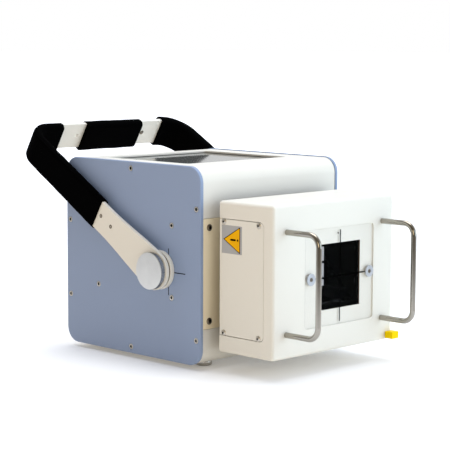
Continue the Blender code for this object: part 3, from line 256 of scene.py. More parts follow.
PLATE_CORNER = 0.0165
PLATE_EDGE = 0.0010
SCREW_HEAD = 0.0031
SCREW_SOCKET = 0.0017
SCREW_DEPTH = 0.0016
SCREW_PLAY = 0.0003
SCREW_SUNK = 0.0001
COUNTERSINK = 0.0022
PLATE_SCREWS = ((0.0061, 0.1578), (0.0061, 0.0260), (0.1030, 0.1930), (0.1030, 0.0070),
                (0.1998, 0.1323), (0.1998, 0.0517), (0.0417, 0.1388), (0.0417, 0.0654),
                (0.1541, 0.1388), (0.1541, 0.0672))
MARK_CENTRE = (0.0458, 0.0915)
MARK_HALF_HEIGHT = 0.0238
MARK_FRONT_ARM = 0.0243
MARK_WIDTH = 0.0009
PRINT_THICKNESS = 0.00008
BLUE = (0.262, 0.345, 0.530)
STUD_BORE = 0.0053
BORE_PAST = 0.001
SIDES = ((-1, "left"), (1, "right"))
UP = Vector((0.0, 0.0, 1.0))
FRONT = Vector((0.0, -1.0, 0.0))
REAR = Vector((0.0, 1.0, 0.0))
LEFT = Vector((-1.0, 0.0, 0.0))
RIGHT = Vector((1.0, 0.0, 0.0))
CUTTER_REACH = 0.01


def effect_group(name, **inputs):
    """A node group that makes a colour, a roughness and a height, with its inputs, place and output."""
    group = bpy.data.node_groups.new(name, "ShaderNodeTree")
    for label, kind in inputs.items():
        group.interface.new_socket(label.replace("_", " "), in_out="INPUT", socket_type=f"NodeSocket{kind}")
    for label, kind in (("Color", "Color"), ("Roughness", "Float"), ("Height", "Float")):
        group.interface.new_socket(label, in_out="OUTPUT", socket_type=f"NodeSocket{kind}")
    given = group.nodes.new("NodeGroupInput").outputs
    place = add_node(group, "ShaderNodeTexCoord").outputs["Object"]
    return group, given, place, group.nodes.new("NodeGroupOutput")


def scaled(tree, value, factor, offset=0.0):
    """value x factor + offset, as one maths node."""
    return worked_out(tree, "MULTIPLY_ADD", value, factor, offset)


def make_powder_group():
    """Powder coat: fine orange peel, a slow drift in tone, and specks of dust."""
    group, given, place, out = effect_group("powder coat", Color="Color", Dust_Color="Color",
                                            Peel_Scale="Float", Roughness="Float")
    peel = noisy(group, place, given["Peel Scale"], 2.0, Roughness=0.45)
    fine = add_node(group, "ShaderNodeTexVoronoi", {"feature": "SMOOTH_F1"}, Vector=place,
                    Scale=scaled(group, given["Peel Scale"], 0.62), Smoothness=1.0)
    drift = noisy(group, place, 14.0, 3.0)
    speck = noisy(group, place, 420.0, 4.0)
    amount = worked_out(group, "MULTIPLY", scaled(group, drift, 0.20, -0.05),
                        scaled(group, speck, 1.3, -0.1))
    set_inputs(out, Color=blended(group, amount, given["Color"], given["Dust Color"]),
               Roughness=scaled(group, drift, 0.12, given["Roughness"]),
               Height=worked_out(group, "ADD", peel, scaled(group, fine.outputs["Distance"], 0.5)))
    return group


POWDER = make_powder_group()


def finish_from_group(name, group, values, metallic=0.0, bump=0.1, depth=0.0003, **shader_values):
    """A Principled material whose colour, roughness and bump come from a shared effect."""
    material, tree, shader, _ = new_material(name)
    effect = add_node(tree, "ShaderNodeGroup", {"node_tree": group}, **values)
    bumped = add_node(tree, "ShaderNodeBump", Strength=bump, Distance=depth, Height=effect.outputs["Height"])
    set_inputs(shader, Metallic=metallic, Base_Color=effect.outputs["Color"],
               Roughness=effect.outputs["Roughness"], Normal=bumped.outputs["Normal"], **shader_values)
    return material


def powder_coat(name, colour, dust, peel, roughness, bump=0.12):
    values = {"Color": (*colour, 1.0), "Dust_Color": (*dust, 1.0), "Peel_Scale": peel,
              "Roughness": roughness}
    return finish_from_group(name, POWDER, values, bump=bump)


def make_metal_group():
    """Bare metal: fine streaks along one way of the metal, with a slow change in polish."""
    group, given, place, out = effect_group("drawn metal", Color="Color", Worn_Color="Color",
                                            Streaks="Vector", Roughness="Float", Roughness_Spread="Float")
    stretched = worked_out(group, "MULTIPLY", place, given["Streaks"], kind="VectorMath")
    streak = noisy(group, stretched, 1.0, 3.0, Roughness=0.6)
    worn = scaled(group, noisy(group, place, 70.0, 2.0), 0.5)
    set_inputs(out, Color=blended(group, worn, given["Color"], given["Worn Color"]),
               Roughness=scaled(group, streak, given["Roughness Spread"], given["Roughness"]), Height=streak)
    return group


METAL = make_metal_group()


def bare_metal(name, colour, worn, streaks, roughness, spread=0.12, bump=0.05):
    values = {"Color": (*colour, 1.0), "Worn_Color": (*worn, 1.0), "Streaks": streaks,
              "Roughness": roughness, "Roughness_Spread": spread}
    return finish_from_group(name, METAL, values, metallic=1.0, bump=bump, depth=0.0002)


def make_grain_group():
    """Moulded plastic or print: a fine spark-eroded grain and a slight change in tone."""
    group, given, place, out = effect_group("moulded grain", Color="Color", Grain_Scale="Float",
                                            Roughness="Float")
    grain = noisy(group, place, given["Grain Scale"], 3.0, Roughness=0.7)
    tone = scaled(group, noisy(group, place, 60.0, 2.0), 0.16, 0.92)
    toned = add_node(group, "ShaderNodeHueSaturation", Value=tone, Color=given["Color"])
    set_inputs(out, Color=toned.outputs["Color"], Roughness=scaled(group, grain, 0.15, given["Roughness"]),
               Height=grain)
    return group


GRAIN = make_grain_group()


def moulded(name, colour, grain, roughness, bump=0.12, **shader_values):
    values = {"Color": (*colour, 1.0), "Grain_Scale": grain, "Roughness": roughness}
    return finish_from_group(name, GRAIN, values, bump=bump, **shader_values)


def middle_of(name):
    """The middle of a CAD node's box."""
    low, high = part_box(name)
    return (low + high) / 2


def at(x, y, z):
    """A place given from the lower front edge of the side plates."""
    return CASE_ZERO + Vector((x, y, z))


def facing(outward, centre):
    """Turns a shape drawn in XY with its face up to look outwards from a centre."""
    top = REAR if abs(outward.z) > 0.5 else UP
    across = top.cross(outward)
    turn = Matrix((across, top, outward)).transposed().to_4x4()
    return Matrix.Translation(centre) @ turn


def move(bm, matrix):
    bmesh.ops.transform(bm, matrix=matrix, verts=bm.verts[:])
    return bm


def stand(bm, outward, centre):
    """Stands a shape that is drawn face up on a place, so that it looks outwards."""
    return move(bm, facing(outward, centre))


def add_in(bm, other):
    """Adds another bmesh's solids to this one."""
    mesh = bpy.data.meshes.new("added")
    other.to_mesh(mesh)
    other.free()
    bm.from_mesh(mesh)
    bpy.data.meshes.remove(mesh)
    return bm


def round_edges(bm, width, segments=3, sharper_than=40.0, where=lambda edge: True):
    """Rounds the edges that are sharper than an angle and that the test picks."""
    limit = math.radians(sharper_than)
    edges = [edge for edge in bm.edges
             if len(edge.link_faces) == 2 and edge.calc_face_angle() > limit and where(edge)]
    bmesh.ops.bevel(bm, geom=edges, offset=width, offset_type="OFFSET", segments=segments, profile=0.5,
                    affect="EDGES", material=-1, clamp_overlap=True)
    return bm


def rounded_face(bm, width, height, corner, steps=8):
    """A flat rectangle in XY round the origin, with four round corners."""
    bmesh.ops.create_grid(bm, x_segments=1, y_segments=1, size=0.5)
    bmesh.ops.scale(bm, vec=(width, height, 1.0), verts=bm.verts[:])
    if corner:
        bmesh.ops.bevel(bm, geom=bm.verts[:], offset=corner, offset_type="OFFSET", segments=steps,
                        profile=0.5, affect="VERTICES", material=-1)


def thicken(bm, thickness):
    """Draws a flat shape out along Z into a closed solid that starts at its old plane."""
    grown = bmesh.ops.extrude_face_region(bm, geom=bm.faces[:])
    top = [item for item in grown["geom"] if isinstance(item, bmesh.types.BMVert)]
    bmesh.ops.translate(bm, verts=top, vec=(0.0, 0.0, thickness))
    bmesh.ops.recalc_face_normals(bm, faces=bm.faces[:])


def slab(width, height, thickness, corner=0.0, rim=0.0, steps=8):
    """A plate with its back at z = 0, round corners and a rounded rim at its face."""
    bm = bmesh.new()
    rounded_face(bm, width, height, corner, steps)
    thicken(bm, thickness)
    if rim:
        round_edges(bm, rim, where=lambda edge: all(
            abs(vert.co.z - thickness) < WELD for vert in edge.verts))
    return bm


def turned(profile, steps, edge=0.0, segments=2):
    """A turned solid: the profile's (radius, height) points spun about Z, with its edges broken."""
    bm = bmesh.new()
    points = [bm.verts.new((radius, 0.0, height)) for radius, height in profile]
    lines = [bm.edges.new(pair) for pair in zip(points, points[1:])]
    if min(radius for radius, _ in profile) > 0.0:
        lines.append(bm.edges.new((points[-1], points[0])))
    bmesh.ops.spin(bm, geom=points + lines, cent=(0.0, 0.0, 0.0), axis=(0.0, 0.0, 1.0), angle=math.tau,
                   steps=steps, use_merge=True)
    weld(bm)
    if edge:
        round_edges(bm, edge, segments=segments)
    return bm


def ring(inner, outer, low, high, steps, edge=0.0, segments=2):
    """A turned ring, or a disc where the inner radius is nought, between two heights."""
    return turned([(inner, low), (outer, low), (outer, high), (inner, high)], steps, edge, segments)


def drill(radius, steps):
    """A round cutter that goes right through a sheet."""
    return ring(0.0, radius, -CUTTER_REACH, CUTTER_REACH, steps)


def cut_away(bm, tool):
    """The bmesh with the tool's solids cut out of it."""
    held = []
    for name, shape in (("stock", bm), ("tool", tool)):
        mesh = bpy.data.meshes.new(name)
        shape.to_mesh(mesh)
        shape.free()
        held.append(bpy.data.objects.new(name, mesh))
        bpy.context.scene.collection.objects.link(held[-1])
    cut = held[0].modifiers.new("cut", "BOOLEAN")
    cut.operation = "DIFFERENCE"
    cut.solver = "EXACT"
    cut.object = held[1]
    bpy.context.view_layer.update()
    result = bmesh.new()
    result.from_object(held[0], bpy.context.evaluated_depsgraph_get())
    for item in held:
        mesh = item.data
        bpy.data.objects.remove(item)
        bpy.data.meshes.remove(mesh)
    return result


def hexagon_radius(radius, angle):
    """Distance from the middle to a hexagon's side in a direction."""
    return radius * math.cos(math.pi / 6) / math.cos(angle % (math.pi / 3) - math.pi / 6)


def screw(head, socket, depth, dome, rise, steps=24):
    """A socket screw's head: a domed top with a hexagon pressed into it, from z = -depth to the rise."""
    rings = [(0.0, rise - depth), (socket, rise - depth), (socket, rise)]
    for step in range(1, 5):
        share = step / 4
        rings.append((socket + (head - socket) * share, rise - dome * share * share))
    rings += [(head, -depth - dome), (0.0, -depth - dome)]
    bm = turned(rings, steps)
    # The socket's walls and floor take material 1, dark paint that is painted shade inside the hexagon
    # recess.
    for face in bm.faces:
        reach = max(vert.co.xy.length for vert in face.verts)
        if reach < socket + WELD and face.calc_center_median().z > -depth:
            face.material_index = 1
    for vert in bm.verts:
        flat = vert.co.xy
        if abs(flat.length - socket) < WELD:
            longer = hexagon_radius(socket, math.atan2(flat.y, flat.x)) / flat.length
            vert.co.xy = flat * longer
    return bm


blue_coat = powder_coat("blue powder coat", BLUE, (0.32, 0.37, 0.48), 1500.0, 0.40)
screw_steel = bare_metal("screw steel", (0.62, 0.57, 0.49), (0.50, 0.45, 0.38), (300.0, 300.0, 2400.0), 0.25)
# Near black for the screws' sockets: painted shade inside the hexagon recess.
socket_painted_shade = bare_metal("screw socket painted shade", (0.045, 0.035, 0.025), (0.03, 0.025, 0.02),
                          (300.0, 300.0, 300.0), 0.4)
steel_with_socket_shade = [screw_steel, socket_painted_shade]
black_print = moulded("black print", (0.001, 0.001, 0.001), 3000.0, 0.5, 0.05, Specular_IOR_Level=0.0)

plate_low, plate_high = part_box("side_plate_left")
plate_size = plate_high - plate_low
for side, side_name in SIDES:
    outward = side * RIGHT
    node_name = f"side_plate_{side_name}"
    low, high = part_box(node_name)
    inner_face = Vector((min(low.x, high.x, key=abs), *middle_of(node_name).yz))
    outer_x = side * max(abs(low.x), abs(high.x))
    plate = slab(plate_size.y, plate_size.z, plate_size.x, PLATE_CORNER, PLATE_EDGE, 14)
    stand(plate, outward, inner_face)
    sinks = bmesh.new()
    heads = bmesh.new()
    for y, z in PLATE_SCREWS:
        centre = at(outer_x, y, z)
        sink = turned([(0.0, -COUNTERSINK), (SCREW_HEAD - COUNTERSINK / 2, -COUNTERSINK),
                       (SCREW_HEAD + SCREW_PLAY, SCREW_SUNK), (0.0, SCREW_SUNK)], 24)
        add_in(sinks, stand(sink, outward, centre))
        head = screw(SCREW_HEAD - SCREW_PLAY, SCREW_SOCKET, SCREW_DEPTH, SCREW_SUNK, -SCREW_SUNK)
        add_in(heads, stand(head, outward, centre))
    bore = ring(0.0, STUD_BORE, -plate_size.x, BORE_PAST, 32)
    stud_centre = Vector((outer_x, *middle_of(f"pivot_stud_{side_name}").yz))
    add_in(sinks, stand(bore, outward, stud_centre))
    new_piece(f"blue_plate_{side_name}", cut_away(plate, sinks), blue_coat, "case",
              [node_name])
    new_piece(f"plate_screws_{side_name}", heads, steel_with_socket_shade, "case")
    marks = bmesh.new()
    upright = slab(MARK_WIDTH, 2 * MARK_HALF_HEIGHT, PRINT_THICKNESS)
    add_in(marks, stand(upright, outward, at(outer_x, *MARK_CENTRE)))
    level = slab(MARK_FRONT_ARM, MARK_WIDTH, PRINT_THICKNESS)
    arm_middle = at(outer_x, MARK_CENTRE[0] - MARK_FRONT_ARM / 2, MARK_CENTRE[1])
    add_in(marks, stand(level, outward, arm_middle))
    new_piece(f"beam_mark_{side_name}", marks, black_print, "case")

# Case sheets --------------------------------------------------------------------------------------
# The top cover and the base tray are 2 mm sheet, bent round the plates' corners and powder coated
# cream white. A flat panel closes the front between them and another the rear. Button screws hold
# the panels to the rails behind their seams.

SHEET = 0.002
SHEET_INSET = 0.0008
FRONT_SEAMS = (0.0372, 0.1482)
REAR_SEAMS = (0.034, 0.168)
SEAM_EDGE = 0.0004
SCREEN_CORNER = 0.004
PANEL_SCREW = (0.0035, 0.0017, 0.0012, 0.0011, 0.0016)
PANEL_SCREWS_FRONT = ((0.090, 0.1393), (0.090, 0.0451))
PANEL_SCREWS_REAR = ((0.092, 0.158), (0.092, 0.044))
PORT_HOLE = 0.0303
INLET_HOLE = (0.0546, 0.0246)
JACK_HOLE = 0.0078
GAP = 0.0003
LAP = 0.004
WHITE = (0.80, 0.78, 0.715)
# The front panel's warm cream is partly its paint and partly painted shade: it is warmed for the warm shade
# in the gap behind the collimator.
CREAM_WITH_GAP_SHADE = (0.98, 0.855, 0.61)

white_coat = powder_coat("white powder coat", WHITE, (0.62, 0.60, 0.55), 1700.0, 0.34, 0.08)
cream_coat_with_gap_shade = powder_coat("cream powder coat with painted gap shade", CREAM_WITH_GAP_SHADE, (0.60, 0.55, 0.44), 1700.0, 0.36, 0.08)
inner_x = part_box("top_cover")[1].x


def bent_sheet(seam_front, seam_rear, keep_above):
    """The case's wrapper, cut off at its two seams and given its thickness inwards."""
    bm = bmesh.new()
    rounded_face(bm, plate_size.y - 2 * SHEET_INSET, plate_size.z - 2 * SHEET_INSET,
                 PLATE_CORNER - SHEET_INSET, 14)
    bmesh.ops.delete(bm, geom=bm.faces[:], context="FACES_ONLY")
    grown = bmesh.ops.extrude_edge_only(bm, edges=bm.edges[:])
    moved = [item for item in grown["geom"] if isinstance(item, bmesh.types.BMVert)]
    bmesh.ops.translate(bm, verts=moved, vec=(0.0, 0.0, 2 * inner_x))
    centre = at(-inner_x, plate_size.y / 2, plate_size.z / 2)
    stand(bm, RIGHT, centre)
    side = 1.0 if keep_above else -1.0
    for seam in (seam_front, seam_rear):
        bmesh.ops.bisect_plane(bm, geom=bm.verts[:] + bm.edges[:] + bm.faces[:],
                               plane_co=at(0.0, 0.0, seam), plane_no=UP)
    unwanted = []
    for face in bm.faces:
        middle = face.calc_center_median()
        seam = seam_front if middle.y < centre.y else seam_rear
        if side * (middle.z - at(0.0, 0.0, seam).z) < 0.0:
            unwanted.append(face)
    bmesh.ops.delete(bm, geom=unwanted, context="FACES")
    bmesh.ops.recalc_face_normals(bm, faces=bm.faces[:])
    outward = sum(face.normal.dot(face.calc_center_median() - centre) for face in bm.faces)
    if outward < 0.0:
        bmesh.ops.reverse_faces(bm, faces=bm.faces[:])
    bmesh.ops.solidify(bm, geom=bm.faces[:], thickness=SHEET)
    bmesh.ops.recalc_face_normals(bm, faces=bm.faces[:])
    return bm


top = bent_sheet(FRONT_SEAMS[1] + GAP, REAR_SEAMS[1] + GAP, True)
glass_low, glass_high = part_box("display_glass")
glass_size = glass_high - glass_low
screen = slab(glass_size.x - 2 * LAP, glass_size.y - 2 * LAP, 2 * CUTTER_REACH, SCREEN_CORNER)
move(screen, Matrix.Translation((*middle_of("display_glass").xy, glass_high.z - CUTTER_REACH)))
top = round_edges(cut_away(top, screen), SEAM_EDGE, 2, 50.0)
new_piece("bent_top_cover", top, white_coat, "case", ["top_cover"])
tray = round_edges(bent_sheet(FRONT_SEAMS[0] - GAP, REAR_SEAMS[0] - GAP, False), SEAM_EDGE, 2, 50.0)
new_piece("bent_base_tray", tray, white_coat, "case", ["base_tray"])


def closing_panel(node_name, outward, holes):
    """A flat panel in its node's space, with its face edges rounded and holes through it."""
    low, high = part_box(node_name)
    middle = (low + high) / 2
    back = Vector((middle.x, high.y if outward.y < 0.0 else low.y, middle.z))
    panel = slab(high.x - low.x, high.z - low.z, high.y - low.y, 0.0, SEAM_EDGE)
    stand(panel, outward, back)
    return cut_away(panel, holes)


burnished = bare_metal("burnished screws", (0.24, 0.20, 0.15), (0.17, 0.14, 0.10), (400.0, 2000.0, 400.0),
                       0.30)
burnished_with_socket_shade = [burnished, socket_painted_shade]


def panel_screws(name, spots, y, outward):
    """Button-head screws at mirrored places on a panel's face."""
    heads = bmesh.new()
    for x, z in spots:
        for side in (-1, 1):
            head = screw(*PANEL_SCREW)
            place = at(side * x, 0.0, z)
            place.y = y
            add_in(heads, stand(head, outward, place))
    new_piece(name, heads, burnished_with_socket_shade, "case")


beam = middle_of("port_flange")
panel_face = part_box("front_panel")[0].y
hole = stand(drill(PORT_HOLE, 64), FRONT, Vector((beam.x, panel_face, beam.z)))
new_piece("flat_front_panel", closing_panel("front_panel", FRONT, hole), cream_coat_with_gap_shade, "case",
          ["front_panel"])
panel_screws("front_panel_screws", PANEL_SCREWS_FRONT, panel_face, FRONT)

rear_low, rear_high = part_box("rear_panel")
inlet = middle_of("mains_inlet")
jack = middle_of("handswitch_jack")
openings = slab(*INLET_HOLE, 2 * CUTTER_REACH)
stand(openings, REAR, Vector((inlet.x, rear_low.y - CUTTER_REACH, inlet.z)))
jack_place = Vector((jack.x, rear_high.y, jack.z))
add_in(openings, stand(drill(JACK_HOLE, 40), REAR, jack_place))
new_piece("flat_rear_panel", closing_panel("rear_panel", REAR, openings), white_coat, "case",
          ["rear_panel"])
panel_screws("rear_panel_screws", PANEL_SCREWS_REAR, rear_high.y, REAR)

# Display ------------------------------------------------------------------------------------------
# A dark glass lies under the opening in the top cover, on a black carrier with the control board
# below it. The display is off, so it only shows the room.


def clear_glass(name, colour, roughness, smear, **shader_values):
    """Glossy glass with faint finger smears in its polish."""
    material, tree, shader, place = new_material(name)
    wiped = noisy(tree, place, 38.0, 5.0, Distortion=0.6)
    tint = blended(tree, wiped, (*colour, 1.0), (*(value * 0.8 for value in colour), 1.0))
    set_inputs(shader, Base_Color=tint, Roughness=scaled(tree, wiped, smear, roughness), **shader_values)
    return material


def dress(material, *names):
    """Gives CAD nodes that keep their shape a finish."""
    for name in names:
        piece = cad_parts[name]
        for place in range(max(len(piece.material_slots), 1)):
            if not piece.material_slots:
                piece.data.materials.append(material)
            piece.material_slots[place].material = material


# The glass's grey base colour is painted reflection: it lightens the glass as the room reflected in it does.
screen_glass_painted_reflection = clear_glass("display glass with painted reflection", (0.16, 0.165, 0.155), 0.03, 0.08)
black_plastic = moulded("black plastic", (0.016, 0.016, 0.017), 1600.0, 0.42)
green_board = moulded("solder resist", (0.02, 0.12, 0.05), 900.0, 0.35)
dress(screen_glass_painted_reflection, "display_glass")
dress(black_plastic, "display_carrier", "lamp_holder", "tape_case")
dress(green_board, "control_board")

# Tank, tube and power module ----------------------------------------------------------------------
# Inside the case, a folded steel tank holds the tube in oil on the beam's axis, and a finned heat
# sink behind it carries the inverter. Rails across the case tie the two plates together.

raw_steel = bare_metal("tank steel", (0.42, 0.42, 0.43), (0.33, 0.33, 0.34), (60.0, 1200.0, 1200.0), 0.35)
milled = bare_metal("milled aluminium", (0.66, 0.66, 0.65), (0.55, 0.55, 0.54), (90.0, 1800.0, 1800.0), 0.30)
copper = bare_metal("anode copper", (0.75, 0.36, 0.22), (0.60, 0.27, 0.15), (100.0, 1500.0, 1500.0), 0.28)
bulb_glass = clear_glass("tube glass", (0.90, 0.93, 0.94), 0.02, 0.03, Transmission_Weight=1.0, IOR=1.47)
blackened = bare_metal("blackened lead", (0.008, 0.008, 0.009), (0.005, 0.005, 0.006), (900.0, 900.0, 900.0),
                       0.5)
# The light mirror is coloured near black: painted shade for the dark chamber seen through the window.
mirror_in_painted_shade = bare_metal("mirror film in painted shade", (0.008, 0.008, 0.009), (0.006, 0.006, 0.007), (300.0, 300.0, 300.0),
                         0.05, 0.03, 0.0)
dress(raw_steel, "tank_body", "tank_lid", "tube_cathode")
dress(milled, "rail_front_upper", "rail_front_lower", "rail_rear_upper", "rail_rear_lower", "rail_bottom",
      "power_heat_sink", "filter_disc")
dress(copper, "tube_anode")
dress(bulb_glass, "tube_envelope", "lamp_bulb")
dress(blackened, "shutter_frame", "blade_left", "blade_right", "blade_top", "blade_bottom")
dress(mirror_in_painted_shade, "light_mirror")

# Rear fittings ------------------------------------------------------------------------------------
# A black appliance inlet with a rocker switch and a round socket for the handswitch sit in the rear
# panel. The inlet's three blades and the socket's five pins are turned or stamped metal.

SOCKET_SHIFT = 0.0115
PIN_SIZE = (0.002, 0.0045)
PIN_REACH = 0.012
PIN_DEPTH = 0.0158
EARTH_PIN_RISE = 0.0032
LINE_PIN_DROP = 0.0028
LINE_PIN_SPREAD = 0.0070
JACK_PIN_CIRCLE = 0.0028
PIN_EDGE = 0.0004
JACK_PINS = 5
JACK_PIN_RADIUS = 0.0005
JACK_PIN_LENGTH = 0.006
JACK_PIN_DEPTH = 0.0099
JACK_FLANGE = 0.0025
INLET_SCREW = (0.0019, 0.0008, 0.0006, 0.0006, 0.0007, 18)
INLET_SCREW_SHIFT = 0.0265

dress(black_plastic, "mains_inlet", "power_rocker")
pin_metal = bare_metal("nickel pins", (0.62, 0.60, 0.55), (0.52, 0.50, 0.45), (900.0, 100.0, 900.0), 0.22)
jack_metal = bare_metal("plated socket", (0.50, 0.49, 0.46), (0.42, 0.41, 0.38), (900.0, 200.0, 900.0), 0.25)
inlet_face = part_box("mains_inlet")[1].y
jack_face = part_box("handswitch_jack")[1].y
pins = bmesh.new()
for x, z in ((0.0, EARTH_PIN_RISE), (-LINE_PIN_SPREAD, -LINE_PIN_DROP), (LINE_PIN_SPREAD, -LINE_PIN_DROP)):
    blade = round_edges(slab(*PIN_SIZE, PIN_REACH), PIN_EDGE, 2)
    spot = Vector((inlet.x - SOCKET_SHIFT + x, inlet_face - PIN_DEPTH, inlet.z + z))
    add_in(pins, stand(blade, REAR, spot))
for index in range(JACK_PINS):
    angle = math.tau * index / JACK_PINS
    pin = ring(0.0, JACK_PIN_RADIUS, 0.0, JACK_PIN_LENGTH, 12, 0.0001)
    spot = Vector((jack.x + JACK_PIN_CIRCLE * math.cos(angle), jack_face - JACK_PIN_DEPTH,
                   jack.z + JACK_PIN_CIRCLE * math.sin(angle)))
    add_in(pins, stand(pin, REAR, spot))
new_piece("contact_pins", pins, pin_metal, "case")
jack_shell = turned([(0.0, -0.014), (0.0075, -0.014), (0.0075, 0.0), (0.011, 0.0), (0.011, JACK_FLANGE),
                     (0.0048, JACK_FLANGE), (0.0048, -0.0075), (0.0, -0.0075)], 48, 0.0003)
stand(jack_shell, REAR, Vector((jack.x, jack_face - JACK_FLANGE, jack.z)))
new_piece("handswitch_socket", jack_shell, jack_metal, "case", ["handswitch_jack"])
inlet_screws = bmesh.new()
for side in (-1, 1):
    head = screw(*INLET_SCREW)
    spot = Vector((inlet.x + side * INLET_SCREW_SHIFT, inlet_face, inlet.z))
    add_in(inlet_screws, stand(head, REAR, spot))
new_piece("inlet_screws", inlet_screws, steel_with_socket_shade, "case")

# Port flange --------------------------------------------------------------------------------------
# A turned aluminium flange on the front panel and a ring on the collimator's back plate meet in the
# narrow gap between case and collimator.

FLANGE_RADIUS = 0.045
FLANGE_COLLAR = 0.030
PORT_BORE = 0.0195

panel_y = panel_face - GAP
flange_low, flange_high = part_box("port_flange")
flange_face = panel_y - flange_low.y
flange_end = flange_high.y - panel_y
flange = turned([(PORT_BORE, flange_face), (FLANGE_RADIUS, flange_face), (FLANGE_RADIUS, 0.0),
                 (FLANGE_COLLAR, 0.0), (FLANGE_COLLAR, -flange_end), (PORT_BORE, -flange_end)], 96, 0.0005)
stand(flange, FRONT, Vector((beam.x, panel_y, beam.z)))
new_piece("turned_port_flange", flange, milled, "case", ["port_flange"])
dress(blackened, "collimator_back_plate")

# Collimator housing -------------------------------------------------------------------------------
# A welded box of 3 mm sheet, open to the rear, with 3.5 mm outer edges, powder coated white outside
# and blackened inside. A cover in each side, held by four small dome screws, gives access.

HOUSING_WALL = 0.003
HOUSING_EDGE = 0.0035
COVER_FRONT_CORNER = 0.005
COVER_EDGE = 0.0004
COVER_GAP = 0.0006
COVER_SCREW = (0.0031, 0.0012, 0.0008, 0.0010, 0.0012, 18)
COVER_SCREWS = ((-0.0204, 0.1472), (-0.0675, 0.1466), (-0.0204, 0.0364), (-0.0675, 0.0364))
WINDOW_WIDTH = 0.065
WINDOW_HEIGHT = 0.066
PANEL_CORNER = 0.004
SLOT_X = 0.0825
SLOT_SIZE = (0.006, 0.0016)
KNOB_HOLE = 0.0033
INSIDE_MARGIN = 0.0001
NOTCH_REACH = 0.1

housing_low, housing_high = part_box("collimator_housing")
window_low, window_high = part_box("window_panel")
window = middle_of("window_panel")


def block(low, high):
    """A plain block between two corners."""
    size = Vector(high) - Vector(low)
    bm = slab(size.x, size.y, size.z)
    return move(bm, Matrix.Translation(((low[0] + high[0]) / 2, (low[1] + high[1]) / 2, low[2])))


housing = block(housing_low, housing_high)
round_edges(housing, HOUSING_EDGE, 6, 40.0,
            lambda edge: any(abs(vert.co.y - housing_high.y) > WELD for vert in edge.verts))
wall = Vector((HOUSING_WALL, HOUSING_WALL, HOUSING_WALL))
hollow_low = housing_low + wall
hollow_high = housing_high - wall
hollow_high.y = housing_high.y + HOUSING_WALL
cover_low, cover_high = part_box("collimator_cover_left")
notch = slab(cover_high.y - cover_low.y + 2 * (COVER_GAP + CUTTER_REACH),
             cover_high.z - cover_low.z + 2 * COVER_GAP, 2 * NOTCH_REACH, COVER_FRONT_CORNER + COVER_GAP)
cover_middle = middle_of("collimator_cover_left")
notch_start = Vector((NOTCH_REACH, cover_middle.y + CUTTER_REACH, cover_middle.z))
half_opening = Vector((WINDOW_WIDTH / 2, 0.0, WINDOW_HEIGHT / 2))
half_slot = Vector((SLOT_SIZE[0] / 2, 0.0, SLOT_SIZE[1] / 2))
through = Vector((0.0, CUTTER_REACH, 0.0))
opening_middle = Vector((window.x, housing_low.y, window.z))
panel_width = window_high.x - window_low.x
panel_height = window_high.z - window_low.z
recess = slab(panel_width + 2 * GAP, panel_height + 2 * GAP, CUTTER_REACH, PANEL_CORNER + GAP)
tape_low, tape_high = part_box("tape_tab")
tape_z = middle_of("tape_tab").z
slot_middle = Vector((SLOT_X, housing_low.y, tape_z))
cutters = (
    block(hollow_low, hollow_high),
    stand(notch, LEFT, notch_start),
    block(opening_middle - half_opening - through, opening_middle + half_opening + through),
    stand(recess, FRONT, Vector((window.x, window_high.y + GAP, window.z))),
    block(slot_middle - half_slot - through, slot_middle + half_slot + through),
)
for cutter in cutters:
    housing = cut_away(housing, cutter)
for face in housing.faces:
    middle = face.calc_center_median()
    inside = all(hollow_low[axis] - INSIDE_MARGIN < middle[axis] < hollow_high[axis] + INSIDE_MARGIN
                 for axis in range(3))
    in_window = (abs(face.normal.y) < 0.5 and abs(middle.x - window.x) < WINDOW_WIDTH / 2 + WELD
                 and abs(middle.z - window.z) < WINDOW_HEIGHT / 2 + WELD)
    # Faces of the window opening's reveal take material 2, a dark brown that is painted shade in the reveal.
    face.material_index = 2 if in_window else int(inside)
reveal_shade = moulded("window reveal painted shade", (0.13, 0.075, 0.045), 900.0, 0.5)
inner_black = moulded("blackened inside", (0.003, 0.003, 0.003), 900.0, 0.6, Specular_IOR_Level=0.1)
new_piece("welded_housing", housing, [white_coat, inner_black, reveal_shade], "case",
          ["collimator_housing"])

knob_centres = [middle_of("shutter_knob_width"), middle_of("shutter_knob_height")]
for side, side_name in SIDES:
    node_name = f"collimator_cover_{side_name}"
    low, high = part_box(node_name)
    outward = side * RIGHT
    outer_x = side * max(abs(low.x), abs(high.x))
    inner = Vector((outer_x - side * (high.x - low.x), *middle_of(node_name).yz))
    cover = slab(high.y - low.y + 2 * COVER_FRONT_CORNER, high.z - low.z, high.x - low.x, COVER_FRONT_CORNER,
                 COVER_EDGE)
    stand(cover, outward, inner + Vector((0.0, COVER_FRONT_CORNER, 0.0)))
    trim = block((inner.x - CUTTER_REACH, high.y, low.z - CUTTER_REACH),
                 (inner.x + CUTTER_REACH, high.y + 2 * CUTTER_REACH, high.z + CUTTER_REACH))
    if side > 0:
        for centre in knob_centres:
            shaft_place = Vector((outer_x, *centre.yz))
            add_in(trim, stand(drill(KNOB_HOLE, 24), outward, shaft_place))
    cover = cut_away(cover, trim)
    for face in cover.faces:
        face.material_index = int(face.normal.x * side < -0.9)
    new_piece(f"side_cover_{side_name}", cover, [white_coat, inner_black], "case",
              [node_name])
    heads = bmesh.new()
    for y, z in COVER_SCREWS:
        head = screw(*COVER_SCREW)
        add_in(heads, stand(head, outward, at(outer_x, y, z)))
    new_piece(f"cover_screws_{side_name}", heads, steel_with_socket_shade, "case")

# Caution label ------------------------------------------------------------------------------------
# A grey vinyl square on the left cover with a plain amber triangle, bordered in black, pointing to
# the rear. The mark inside it is a plain bar and dot.

